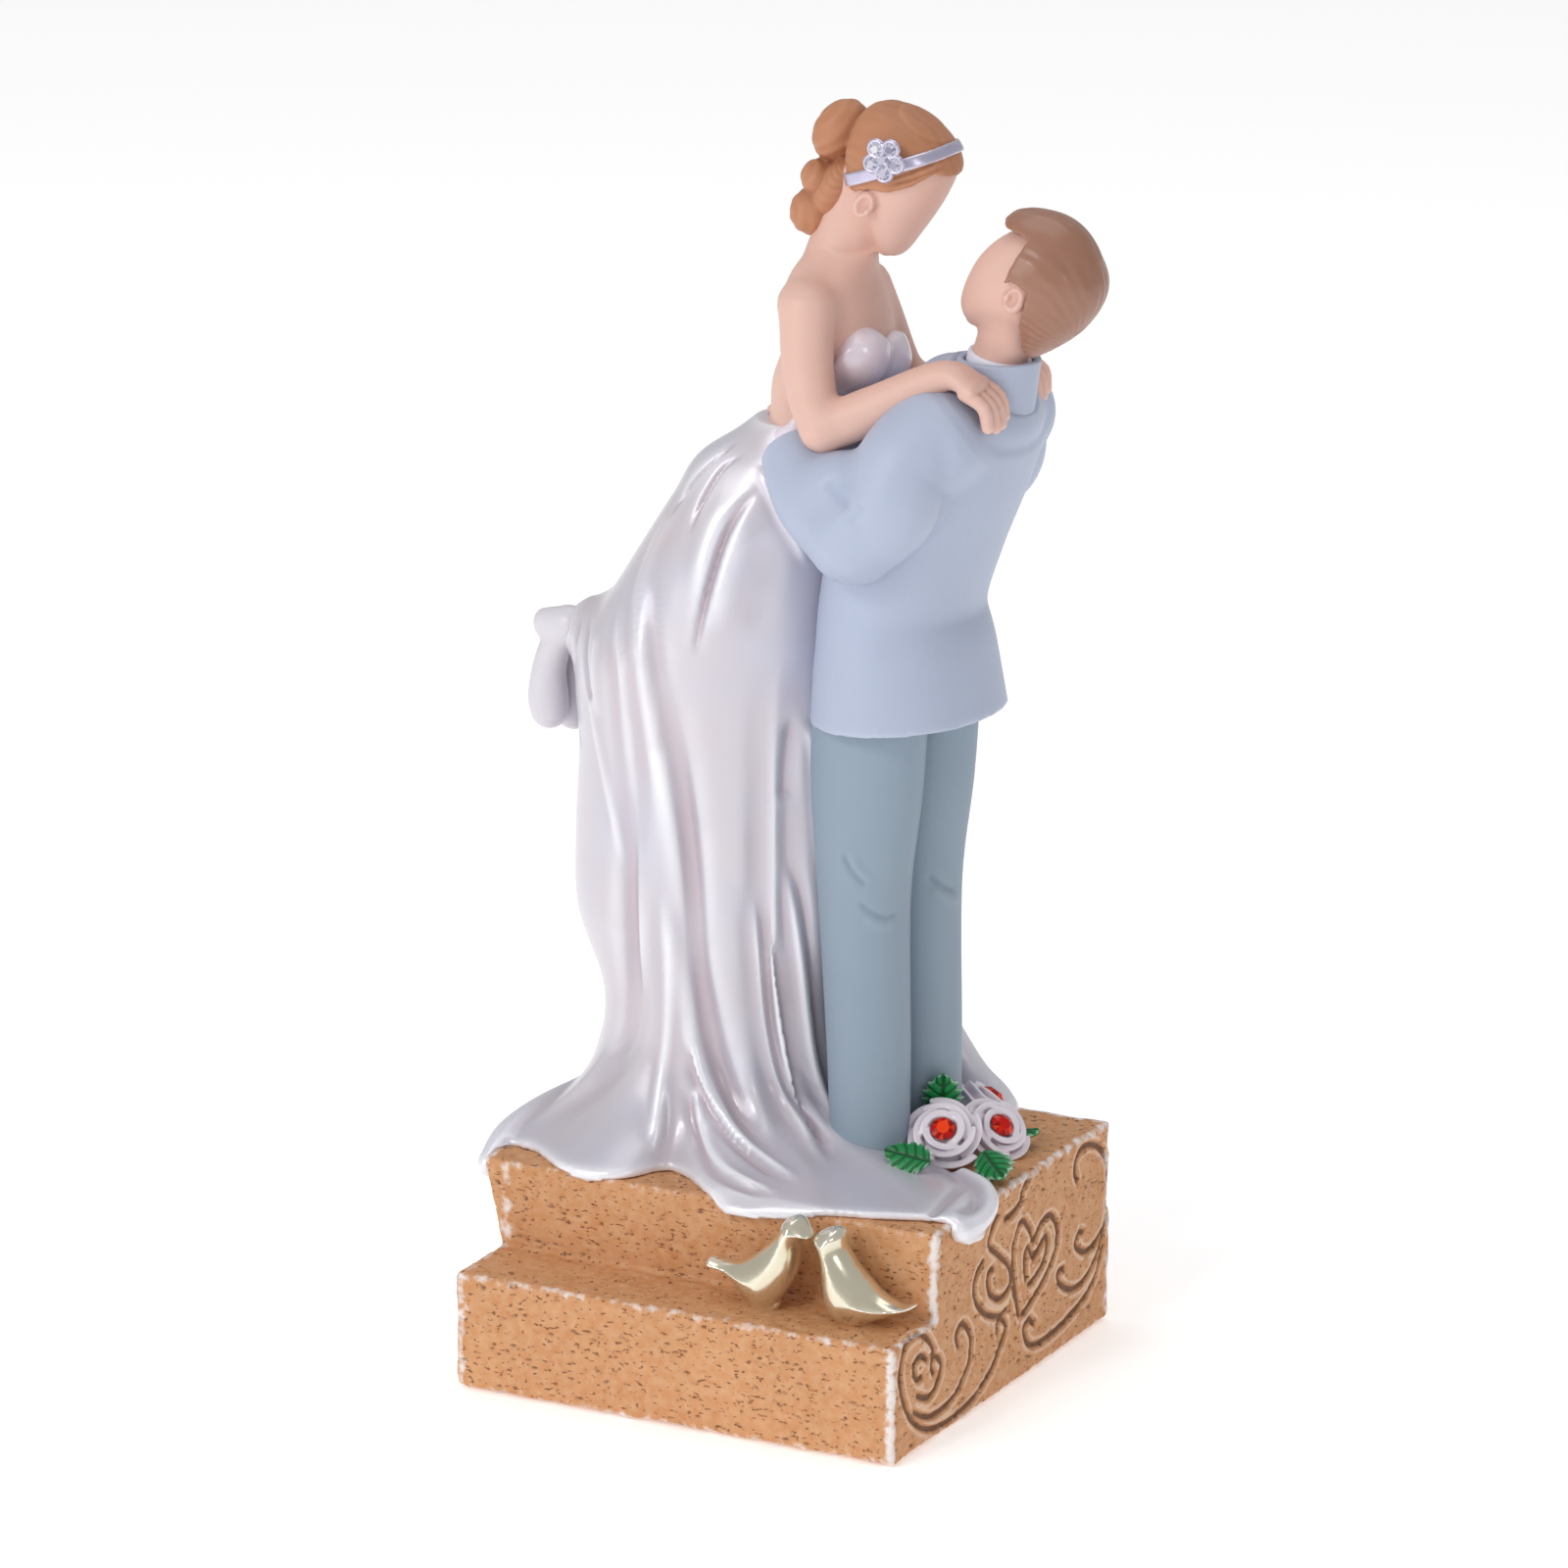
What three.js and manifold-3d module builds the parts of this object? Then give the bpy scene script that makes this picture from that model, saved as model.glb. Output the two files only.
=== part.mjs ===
// A cake topper: a bride lifted by her groom on a stepped plinth of stone-finish resin.
// Millimetres, +Z up. The origin is the middle of the plinth's footprint, on the surface it stands on.
// +X runs along the step towards the groom, and +Y from the step to the back.
// Each casting is its own solid. Neighbours are glued with a small gap between them.
import * as THREE from "three";
import { mergeVertices } from "three/addons/utils/BufferGeometryUtils.js";
import Module from "manifold-3d";

const wasm = await Module();
wasm.setup();

// Fits
const clearance = 0.3; // glue gap between two castings
const pegDepth = 5; // how far one casting runs into the socket of the next

// Plinth
const plinthWidth = 60;
const plinthDepth = 60;
const plinthHeight = 26.4;
const stepHeight = 15.3;
const treadDepth = 11.4;
const plinthRound = 1.4; // worn top edges
const plinthChamfer = 0.6; // worn side edges
const sideFlare = 2.6; // how far the upper block leans out on the bride's side
const feltThickness = 1;
const feltProud = 0.4;
const feltMargin = 2.5;

// Steel dowels between the figures and the plinth
const dowelRadius = 1;
const dowelDepth = 12;
const dowelRise = 16;

// Groom
const coupleSetback = 25.6; // from the face of the upper block back to the couple's middle line
const groomX = 11.3;
const legLength = 57.5; // plinth to jacket hem
const hipSpacing = 10.2;
const strideBack = 2; // the right leg stands this much further along +X
const ankleHalf = 5;
const kneeHalf = 5.6;
const thighHalf = 6.8;
const torsoLength = 39.5; // jacket hem to shoulder line
const backLean = 9.6; // how far the shoulders are behind the hem
const hemHalfWidth = 13.8;
const hemHalfDepth = 11;
const waistHalfWidth = 12.6;
const waistHalfDepth = 9.4;
const chestHalfWidth = 14.2;
const chestHalfDepth = 9.6;
const shoulderHalfWidth = 12.8;
const sleeveHalf = 6;
const cuffHalf = 4.3;
const leftHandDrop = 0.8; // below the bride's waist
const rightHandDrop = 4.4;
const collarHeight = 6;
const collarHalf = 4.8;
const collarThickness = 0.85;
const groomNeckHalf = 3.2;
const groomNeckLength = 10.5;
const groomHeadHeight = 15.2;
const groomTilt = 35; // degrees that he looks up
const groomHairDepth = 1;
const quiffHalf = 3.9;

// Bride
const waistX = 0.6;
const waistDrop = 4; // her waist is this far below the groom's shoulder line
const brideTorsoLength = 17.6; // waist to shoulder line
const brideLean = 4.4; // how far her shoulders are in front of her waist
const brideWaistHalf = 5.6;
const brideShoulderHalfWidth = 9.2;
const farShoulderTuck = 3.1; // her far shoulder is this much nearer to her middle
const brideArmHalf = 3;
const brideWristHalf = 2;
const fingerHalf = 0.75;
const brideNeckHalf = 3.1;
const brideNeckLength = 7.6;
const brideHeadHeight = 15.4;
const brideTilt = 34; // degrees that she looks down
const brideHairDepth = 0.8;
const bunHalf = 3.6;
const bandWidth = 1.6;
const bandThickness = 0.6;
const petalHalf = 1.3;
const petalCount = 5;
const crystalHalf = 0.75;
const bodiceThickness = 0.8;
const bustHalf = 3.6;

// Gown skirt
const skirtX = -13; // axis of the standing column of cloth
const skirtHalfDepth = 18;
const skirtHalfWidth = 15.5;
const hemThickness = 1.1;
const creaseDepth = 1.2;
const creaseWidth = 7; // degrees
const ankleReach = 18; // from the skirt's axis back to the raised ankles
const ankleHeight = 62;
const shoeLength = 14;
const shoeHalf = 2.6;
const shoeTrail = 1.2; // how far the left foot hangs below the right

// Trimmings
const birdsX = 16; // where the beaks meet
const birdLength = 13;
const birdHalf = 3.5;
const leftTailRise = 5; // above the tread
const rightTailRise = 3.6;
const roseHalf = 4.4;
const roseHeight = 4.8;
const rosePetals = 5;
const gemHalf = 1.5;
const leafLength = 6.4;
const leafHalfWidth = 2.4;
const leafThickness = 0.9;

const xAxis = new THREE.Vector3(1, 0, 0);
const yAxis = new THREE.Vector3(0, 1, 0);
const zAxis = new THREE.Vector3(0, 0, 1);
const point = (x, y, z) => new THREE.Vector3(x, y, z);
const from = (start, x, y, z) => point(start.x + x, start.y + y, start.z + z);
const radians = THREE.MathUtils.degToRad;
const nearSide = (p) => p.clone();
const farSide = (p) => point(p.x, -p.y, p.z);

// Solids: a form takes a growth and gives a geometry grown by it all round, and a shape takes
// a growth and gives a solid. A piece is cut back by its neighbours' shapes grown by the clearance.

function solid(geometry) {
  const bare = geometry.clone();
  bare.deleteAttribute("normal");
  bare.deleteAttribute("uv");
  const merged = mergeVertices(bare, 1e-4);
  return new wasm.Manifold(
    new wasm.Mesh({
      numProp: 3,
      vertProperties: new Float32Array(merged.attributes.position.array),
      triVerts: new Uint32Array(merged.index.array),
    }),
  );
}

function shape(...forms) {
  return (grow = 0) => forms.map((form) => solid(form(grow))).reduce((made, next) => made.add(next));
}

function kept(whole, keeper) {
  return (grow = 0) => whole(grow).intersect(keeper(grow));
}

function thicker(form, extra) {
  return (grow = 0) => form(grow + extra);
}

function placed(form, matrix) {
  return (grow = 0) => form(grow).applyMatrix4(matrix);
}

// Smooth values between the rows of a table, looked up by each row's first number.
function smoothTable(rows) {
  const keys = rows.map(([key]) => key);
  const values = rows.flatMap(([, ...rest]) => rest);
  const curve = new THREE.CubicInterpolant(keys, values, rows[0].length - 1);
  return (key) => Array.from(curve.evaluate(key));
}

// A closed skin over rings of points that turn left about the way from the first ring to the last.
function skin(rings, startTip, endTip) {
  const count = rings[0].length;
  const last = rings.length - 1;
  const points = [startTip, ...rings.flat(), endTip];
  const at = (ring, i) => 1 + ring * count + (i % count);
  const faces = [];
  for (let i = 0; i < count; i++) {
    faces.push(0, at(0, i + 1), at(0, i));
    for (let ring = 0; ring < last; ring++) {
      faces.push(at(ring, i), at(ring, i + 1), at(ring + 1, i));
      faces.push(at(ring, i + 1), at(ring + 1, i + 1), at(ring + 1, i));
    }
    faces.push(points.length - 1, at(last, i), at(last, i + 1));
  }
  return new THREE.BufferGeometry().setFromPoints(points).setIndex(faces);
}

// A limb or body: oval sections along a smooth line. A station is [centre, half along side, half across].
// Sections stand square to the line, or to axis where one is given. domes are the lengths of the
// rounded ends as shares of the end section's smaller half, and 0 leaves an end flat.
function limb(stations, { side = yAxis, axis = null, sides = 12, rings = 8, domes = [0.8, 0.8] } = {}) {
  const line = new THREE.CatmullRomCurve3(stations.map(([centre]) => centre));
  const halves = new THREE.CatmullRomCurve3(stations.map(([, along, across]) => point(along, across, 0)));
  const domeSteps = 2;
  return (grow = 0) => {
    const section = (t, slip, share) => {
      const forward = axis ?? line.getTangent(t);
      const along = side.clone().addScaledVector(forward, -side.dot(forward)).normalize();
      const across = forward.clone().cross(along);
      const half = halves.getPoint(t);
      const centre = line.getPoint(t).addScaledVector(forward, slip);
      return Array.from({ length: sides }, (_, i) => {
        const angle = (i / sides) * 2 * Math.PI;
        return centre
          .clone()
          .addScaledVector(along, (half.x + grow) * share * Math.cos(angle))
          .addScaledVector(across, (half.y + grow) * share * Math.sin(angle));
      });
    };
    const tip = (t, slip) => line.getPoint(t).addScaledVector(axis ?? line.getTangent(t), slip);
    const domeLength = (t, share) => Math.min(halves.getPoint(t).x, halves.getPoint(t).y) * share + grow;
    const startDome = domeLength(0, domes[0]);
    const endDome = domeLength(1, domes[1]);
    const turns = Array.from({ length: domeSteps - 1 }, (_, k) => (((k + 1) / domeSteps) * Math.PI) / 2);
    const made = [];
    if (domes[0] > 0) {
      const tipFirst = [...turns].reverse();
      made.push(...tipFirst.map((turn) => section(0, -startDome * Math.sin(turn), Math.cos(turn))));
    }
    for (let ring = 0; ring <= rings; ring++) {
      const flatStart = ring === 0 && domes[0] === 0 ? -grow : 0;
      const flatEnd = ring === rings && domes[1] === 0 ? grow : 0;
      made.push(section(ring / rings, flatStart + flatEnd, 1));
    }
    if (domes[1] > 0) {
      made.push(...turns.map((turn) => section(1, endDome * Math.sin(turn), Math.cos(turn))));
    }
    return skin(made, tip(0, -startDome), tip(1, endDome));
  };
}

function ball(centre, halfX, halfY, halfZ, segments = 12) {
  return (grow = 0) =>
    new THREE.SphereGeometry(1, segments, Math.round(segments * 0.6))
      .scale(halfX + grow, halfY + grow, halfZ + grow)
      .translate(centre.x, centre.y, centre.z);
}

function rod(foot, length, radius) {
  return (grow = 0) =>
    new THREE.CylinderGeometry(radius + grow, radius + grow, length + 2 * grow, 12)
      .rotateX(Math.PI / 2)
      .translate(foot.x, foot.y, foot.z + length / 2);
}

function outlineOf(points, size = 1) {
  return new THREE.Shape(points.map(([x, y]) => new THREE.Vector2(x * size, y * size)));
}

// An outline in the XZ plane, pushed out both ways along Y.
function slabAlongY(outline, thickness) {
  return () =>
    new THREE.ExtrudeGeometry(outline, { depth: thickness, bevelEnabled: false })
      .rotateX(Math.PI / 2)
      .translate(0, thickness / 2, 0);
}

// A brilliant-cut stone with its table facing +Z and its girdle at z 0.
function brilliant(half) {
  return (grow = 0) => {
    const r = half + grow;
    const profile = [
      [0, -0.7],
      [1, 0],
      [0.62, 0.4],
      [0, 0.4],
    ].map(([x, y]) => new THREE.Vector2(x * r, y * r));
    return new THREE.LatheGeometry(profile, 8).rotateX(Math.PI / 2);
  };
}

// Plinth

const blockFront = -plinthDepth / 2 + treadDepth;

function plinthBlock(grow = 0) {
  const front = -plinthDepth / 2 - grow;
  const back = plinthDepth / 2 + grow;
  const bottom = feltProud - grow;
  const tread = stepHeight + grow;
  const top = plinthHeight + grow;
  const riser = blockFront - grow;
  const outline = new THREE.Shape();
  outline.moveTo(back, bottom);
  outline.lineTo(back, top - plinthRound);
  outline.quadraticCurveTo(back, top, back - plinthRound, top);
  outline.lineTo(riser + plinthRound, top);
  outline.quadraticCurveTo(riser, top, riser, top - plinthRound);
  outline.lineTo(riser, tread);
  outline.lineTo(front + plinthRound, tread);
  outline.quadraticCurveTo(front, tread, front, tread - plinthRound);
  outline.lineTo(front, bottom);
  const width = plinthWidth + 2 * grow;
  return new THREE.ExtrudeGeometry(outline, {
    depth: width - 2 * plinthChamfer,
    bevelSize: plinthChamfer,
    bevelOffset: -plinthChamfer,
    bevelThickness: plinthChamfer,
    bevelSegments: 1,
    curveSegments: 4,
  })
    .translate(0, 0, -width / 2 + plinthChamfer)
    .applyMatrix4(new THREE.Matrix4().makeBasis(yAxis, zAxis, xAxis));
}

// The upper block leans out on the bride's side: a wedge with its thin end at the tread.
function flareWedge() {
  const inner = -plinthWidth / 2 + 2 * plinthChamfer;
  const outline = outlineOf([
    [inner, stepHeight],
    [inner, plinthHeight - plinthChamfer],
    [-plinthWidth / 2 - sideFlare, plinthHeight - plinthChamfer],
    [-plinthWidth / 2 - plinthChamfer / 2, stepHeight],
  ]);
  const length = plinthDepth - treadDepth - 4 * plinthRound;
  return slabAlongY(outline, length)().translate(0, (blockFront + plinthDepth / 2) / 2, 0);
}

const feltPad = (grow = 0) =>
  new THREE.BoxGeometry(
    plinthWidth - 2 * feltMargin + 2 * grow,
    plinthDepth - 2 * feltMargin + 2 * grow,
    feltThickness + 2 * grow,
  ).translate(0, 0, feltThickness / 2);

// The couple stand in a frame on top of the plinth, on their own middle line.
const stand = point(0, blockFront + coupleSetback, plinthHeight);
const onStand = new THREE.Matrix4().makeTranslation(stand.x, stand.y, stand.z);

// Groom: trousers
const hem = point(groomX + 1.5, 0, legLength);
const shoulderHeight = legLength + torsoLength;
const shoulders = point(hem.x + backLean, 0, shoulderHeight);

function trouserLeg(turn, stride) {
  const at = (x, share) => turn(point(groomX - 1 + stride + x, -hipSpacing / 2, share * legLength));
  const top = from(at(0.6, 1), 0, 0, pegDepth);
  return limb(
    [
      [at(0.5, 0), ankleHalf - 0.3, ankleHalf],
      [at(0.3, 0.25), ankleHalf - 0.1, ankleHalf + 0.3],
      [at(-0.4, 0.6), kneeHalf - 0.4, kneeHalf + 0.3],
      [at(-0.1, 0.85), thighHalf - 0.9, thighHalf + 0.4],
      [top, thighHalf - 0.8, thighHalf + 0.6],
    ],
    { rings: 7, domes: [0, 0] },
  );
}
const leftLeg = shape(trouserLeg(nearSide, 0));
const rightLeg = shape(trouserLeg(farSide, strideBack));

// Groom: jacket, with its back and chest along a leaning spine
const spine = (rise, lean) => point(hem.x + lean * backLean, 0, legLength + rise * torsoLength);
const jacket = shape(
  limb(
    [
      [spine(0, 0), hemHalfWidth, hemHalfDepth],
      [spine(0.19, -0.04), hemHalfWidth - 0.7, (hemHalfDepth + waistHalfDepth) / 2],
      [spine(0.37, -0.04), waistHalfWidth, waistHalfDepth],
      [spine(0.6, 0.2), waistHalfWidth + 0.6, waistHalfDepth + 0.3],
      [spine(0.82, 0.6), chestHalfWidth, chestHalfDepth],
      [spine(0.97, 0.94), shoulderHalfWidth + 0.6, chestHalfDepth - 1],
      [spine(1.03, 1.12), shoulderHalfWidth - 3.2, collarHalf + 2],
      [spine(1.06, 1.24), collarHalf + 1.2, collarHalf + 0.8],
    ],
    { sides: 16, rings: 10, domes: [0, 0] },
  ),
);

// Heads stand in a frame of their own: +X is forward, +Z up and z 0 the level of the chin.
function headFrame(base, facing, tilt) {
  return new THREE.Matrix4()
    .makeTranslation(base.x, base.y, base.z)
    .multiply(new THREE.Matrix4().makeRotationZ(facing))
    .multiply(new THREE.Matrix4().makeRotationY(radians(tilt)));
}

// Level sections from chin to crown in shares of the head's height: [level, front, back, half width].
const headSections = [
  [-0.05, 0.34, 0.22, 0.08],
  [0.0, 0.4, 0.14, 0.15],
  [0.07, 0.435, 0.04, 0.22],
  [0.2, 0.44, -0.16, 0.3],
  [0.4, 0.435, -0.36, 0.37],
  [0.6, 0.42, -0.43, 0.395],
  [0.78, 0.38, -0.43, 0.38],
  [0.9, 0.29, -0.36, 0.31],
  [0.97, 0.15, -0.22, 0.18],
];
function skull(height) {
  const stations = headSections.map(([level, front, back, half]) => [
    point(((front + back) / 2) * height, 0, level * height),
    half * height,
    ((front - back) / 2) * height,
  ]);
  return limb(stations, { axis: zAxis, sides: 16, rings: 9, domes: [0.4, 0.2] });
}
function ears(height, level) {
  const ear = (y) => ball(point(0.02 * height, y, level * height), 0.075 * height, 1, 0.11 * height, 8);
  return [ear(0.38 * height), ear(-0.38 * height)];
}

// Groom: head on a neck that pegs into the jacket
const groomFrame = headFrame(from(shoulders, 3.5, 0, groomNeckLength - 1.4), Math.PI, -groomTilt);
const groomSkull = placed(skull(groomHeadHeight), groomFrame);
const groomNeck = limb(
  [
    [from(shoulders, 1.4, 0, -pegDepth), groomNeckHalf, groomNeckHalf],
    [from(shoulders, 2.2, 0, 0), groomNeckHalf, groomNeckHalf],
    [from(shoulders, 3.1, 0, groomNeckLength * 0.55), groomNeckHalf, groomNeckHalf],
    [from(shoulders, 5.2, 0, groomNeckLength), groomNeckHalf, groomNeckHalf],
  ],
  { sides: 12, rings: 4, domes: [0, 0.8] },
);
const groomHead = shape(
  groomSkull,
  groomNeck,
  ...ears(groomHeadHeight, 0.47).map((ear) => placed(ear, groomFrame)),
);

// Groom: hair, the skull thickened behind a hairline, with a quiff and a tapered nape
const groomHairline = outlineOf(
  [
    [0.7, 0.66],
    [0.46, 0.72],
    [0.36, 0.82],
    [0.25, 0.86],
    [0.15, 0.55],
    [0.06, 0.58],
    [-0.04, 0.46],
    [-0.1, 0.34],
    [-0.22, 0.14],
    [-0.34, -0.04],
    [-0.8, -0.04],
    [-0.8, 1.4],
    [0.7, 1.4],
  ],
  groomHeadHeight,
);
const inGroomHead = (x, y, z) => point(x * groomHeadHeight, y * groomHeadHeight, z * groomHeadHeight);
const quiff = ball(inGroomHead(0.3, 0, 0.84), quiffHalf, quiffHalf, quiffHalf * 0.6);
const crown = ball(
  inGroomHead(-0.02, 0, 0.62),
  0.49 * groomHeadHeight,
  0.43 * groomHeadHeight,
  0.455 * groomHeadHeight,
  16,
);
const nape = limb(
  [
    [inGroomHead(-0.24, 0, 0.45), 0.32 * groomHeadHeight, 0.2 * groomHeadHeight],
    [inGroomHead(-0.24, 0, 0.18), 0.26 * groomHeadHeight, 0.14 * groomHeadHeight],
    [inGroomHead(-0.24, 0, 0.03), 0.17 * groomHeadHeight, 0.08 * groomHeadHeight],
  ],
  { sides: 14, rings: 4 },
);
const groomHair = kept(
  shape(
    thicker(groomSkull, groomHairDepth),
    placed(crown, groomFrame),
    placed(quiff, groomFrame),
    placed(nape, groomFrame),
  ),
  shape(placed(slabAlongY(groomHairline, 3 * groomHeadHeight), groomFrame)),
);

// Groom: a shirt collar round the neck, inside the jacket's stand collar
function collar(foot, top, footHalf, topHalf) {
  const stations = [
    [foot, footHalf, footHalf],
    [top, topHalf, topHalf],
  ];
  return shape(limb(stations, { sides: 18, rings: 1, domes: [0, 0] }));
}
const collarFoot = from(shoulders, 2.2, 0, 0.2);
const collarTop = from(shoulders, 3.2, 0, 0.2 + collarHeight);
const jacketCollar = collar(collarFoot, collarTop, collarHalf + 0.5, collarHalf);
const shirtHalf = collarHalf - collarThickness;
const shirtCollar = collar(collarFoot, from(collarTop, 0, 0, 0.6), shirtHalf, shirtHalf);

// Bride: landmarks
const waist = point(waistX, 0, shoulderHeight - waistDrop);
const brideShoulders = from(waist, brideLean, 0, brideTorsoLength);

// Groom: sleeves, and hands that lie on her back
const groomShoulder = from(shoulders, -1, -shoulderHalfWidth, -0.6);
const groomElbow = point(groomX + 2, -shoulderHalfWidth - 2.2, shoulderHeight - 14.6);
const groomWrist = from(waist, 1.4, -brideWaistHalf - 3.2, -2);
function upperSleeve(turn) {
  return shape(
    limb(
      [
        [turn(from(groomShoulder, 1.4, 2.6, 0.4)), sleeveHalf - 0.6, sleeveHalf],
        [turn(from(groomShoulder, -2.4, -0.6, -2.4)), sleeveHalf, sleeveHalf + 0.6],
        [turn(from(groomElbow, 4.6, 0.4, 5)), sleeveHalf - 0.4, sleeveHalf],
        [turn(groomElbow), sleeveHalf - 0.8, sleeveHalf - 0.6],
      ],
      { rings: 6 },
    ),
  );
}
function foreSleeve(turn) {
  const middle = groomElbow.clone().lerp(groomWrist, 0.5);
  return shape(
    limb(
      [
        [turn(groomElbow), sleeveHalf - 0.9, sleeveHalf - 0.7],
        [turn(from(middle, -0.8, -0.6, -0.4)), sleeveHalf - 1, sleeveHalf - 0.9],
        [turn(groomWrist), cuffHalf, cuffHalf],
      ],
      { rings: 5, domes: [0.8, 0] },
    ),
  );
}
// Places of the four fingers side by side, in finger widths from the middle of the hand
const fingerPlaces = [-1.5, -0.5, 0.5, 1.5];
function groomHand(turn, drop) {
  const palm = from(waist, -brideWaistHalf + 0.6, -brideWaistHalf + 0.4, -drop);
  const tips = from(palm, -1.8, 6, 0.6);
  const along = (share, lift) => from(palm.clone().lerp(tips, share), 0, 0, lift);
  const wrist = from(groomWrist, 0.4, 0.6, 0.4);
  const fingers = fingerPlaces.map((place) =>
    limb(
      [
        [turn(along(0.1, place * 1.9 * fingerHalf)), fingerHalf, fingerHalf],
        [turn(along(1 - Math.abs(place) * 0.1, place * 2.2 * fingerHalf)), fingerHalf, fingerHalf],
      ],
      { side: zAxis, sides: 6, rings: 1 },
    ),
  );
  const back = limb(
    [
      [turn(wrist), brideWristHalf, brideWristHalf],
      [turn(from(wrist.clone().lerp(palm, 0.5), -0.6, -0.8, 0)), brideWristHalf, brideWristHalf],
      [turn(palm), brideWristHalf + 1, fingerHalf + 0.5],
      [turn(along(0.35, 0)), brideWristHalf + 0.8, fingerHalf + 0.2],
    ],
    { side: zAxis, sides: 10, rings: 5 },
  );
  return shape(back, ...fingers);
}

// Bride: torso, and a head on a neck that pegs into it
const rib = (rise, lean) => from(waist, lean * brideLean, 0, rise * brideTorsoLength);
const brideTorsoForm = limb(
  [
    [rib(-0.3, -0.5), brideWaistHalf + 1, brideWaistHalf],
    [rib(0, -0.07), brideWaistHalf + 0.6, brideWaistHalf - 0.2],
    [rib(0.3, 0.28), brideWaistHalf + 1.5, brideWaistHalf + 0.7],
    [rib(0.6, 0.73), brideWaistHalf + 2.4, brideWaistHalf + 0.4],
    [from(rib(0.84, 0.9), 0, -0.2 * farShoulderTuck, 0), brideShoulderHalfWidth - 1.4, brideWaistHalf - 0.8],
    [from(rib(1.02, 0.95), 0, -0.32 * farShoulderTuck, 0), brideShoulderHalfWidth - 2.6, brideArmHalf + 0.7],
    [from(rib(1.14, 0.96), 0, -0.1 * farShoulderTuck, 0), brideNeckHalf + 1.8, brideNeckHalf + 0.5],
    [rib(1.22, 1), brideNeckHalf + 0.5, brideNeckHalf + 0.2],
  ],
  { axis: zAxis, sides: 16, rings: 9, domes: [0, 0] },
);
const brideTorso = shape(brideTorsoForm);
const brideFrame = headFrame(from(brideShoulders, 2.1, 0, brideNeckLength), 0, brideTilt);
const brideSkull = placed(skull(brideHeadHeight), brideFrame);
const brideNeck = limb(
  [
    [from(brideShoulders, -0.4, 0, -pegDepth * 0.4), brideNeckHalf - 0.2, brideNeckHalf - 0.2],
    [from(brideShoulders, -0.3, 0, brideNeckLength * 0.45), brideNeckHalf, brideNeckHalf + 0.1],
    [from(brideShoulders, 0.5, 0, brideNeckLength), brideNeckHalf, brideNeckHalf + 0.5],
    [from(brideShoulders, 2.6, 0, brideNeckLength * 1.6), brideNeckHalf, brideNeckHalf + 0.9],
  ],
  { sides: 12, rings: 4, domes: [0, 0.8] },
);
const brideHead = shape(
  brideSkull,
  brideNeck,
  ...ears(brideHeadHeight, 0.26).map((ear) => placed(ear, brideFrame)),
);

// Bride: hair with two buns, and a headband over it
const inBrideHead = (x, y, z) => point(x * brideHeadHeight, y * brideHeadHeight, z * brideHeadHeight);
const brideHairline = outlineOf(
  [
    [0.7, 0.8],
    [0.33, 0.81],
    [0.26, 0.65],
    [0.15, 0.51],
    [0, 0.42],
    [-0.09, 0.32],
    [-0.2, 0.16],
    [-0.26, -0.1],
    [-0.8, -0.1],
    [-0.8, 1.4],
    [0.7, 1.4],
  ],
  brideHeadHeight,
);
const brideHairForm = thicker(brideSkull, brideHairDepth);
const brideHair = kept(
  shape(brideHairForm),
  shape(placed(slabAlongY(brideHairline, 3 * brideHeadHeight), brideFrame)),
);
const bunUpper = shape(
  placed(ball(inBrideHead(-0.6, 0.06, 0.45), bunHalf * 0.9, bunHalf, bunHalf * 1.18, 14), brideFrame),
);
const bunLower = shape(
  placed(ball(inBrideHead(-0.42, 0, -0.17), bunHalf, bunHalf, bunHalf, 14), brideFrame),
);
const bandTilt = -53; // degrees, from above the forehead down behind the ears
const bandSlab = (grow = 0) =>
  new THREE.BoxGeometry(3 * brideHeadHeight, 3 * brideHeadHeight, bandWidth + 2 * grow)
    .rotateY(radians(bandTilt))
    .translate(0.04 * brideHeadHeight, 0, 0.66 * brideHeadHeight);
const headband = kept(
  shape(thicker(brideSkull, brideHairDepth + clearance + bandThickness)),
  shape(placed(bandSlab, brideFrame)),
);

// Bride: a flower of petals with a crystal in each, at her right temple on the band
const flowerPlace = from(inBrideHead(0, -0.385, 0.75), 0, -brideHairDepth - bandThickness, 0);
const petalPlaces = Array.from({ length: petalCount }, (_, i) => {
  const angle = radians(90 + (i * 360) / petalCount);
  return from(flowerPlace, 1.25 * petalHalf * Math.cos(angle), -0.5, 1.25 * petalHalf * Math.sin(angle));
});
const flower = shape(
  placed(ball(flowerPlace, petalHalf, 1.1, petalHalf, 8), brideFrame),
  ...petalPlaces.map((place) => placed(ball(place, petalHalf, 0.75, petalHalf, 8), brideFrame)),
);
const faceOut = new THREE.Matrix4().makeRotationX(Math.PI / 2);
const crystals = [from(flowerPlace, 0, -0.5, 0), ...petalPlaces].map((place) => {
  const seat = new THREE.Matrix4().makeTranslation(place.x, place.y - 0.6, place.z).multiply(faceOut);
  return shape(placed(placed(brilliant(crystalHalf), seat), brideFrame));
});

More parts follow.
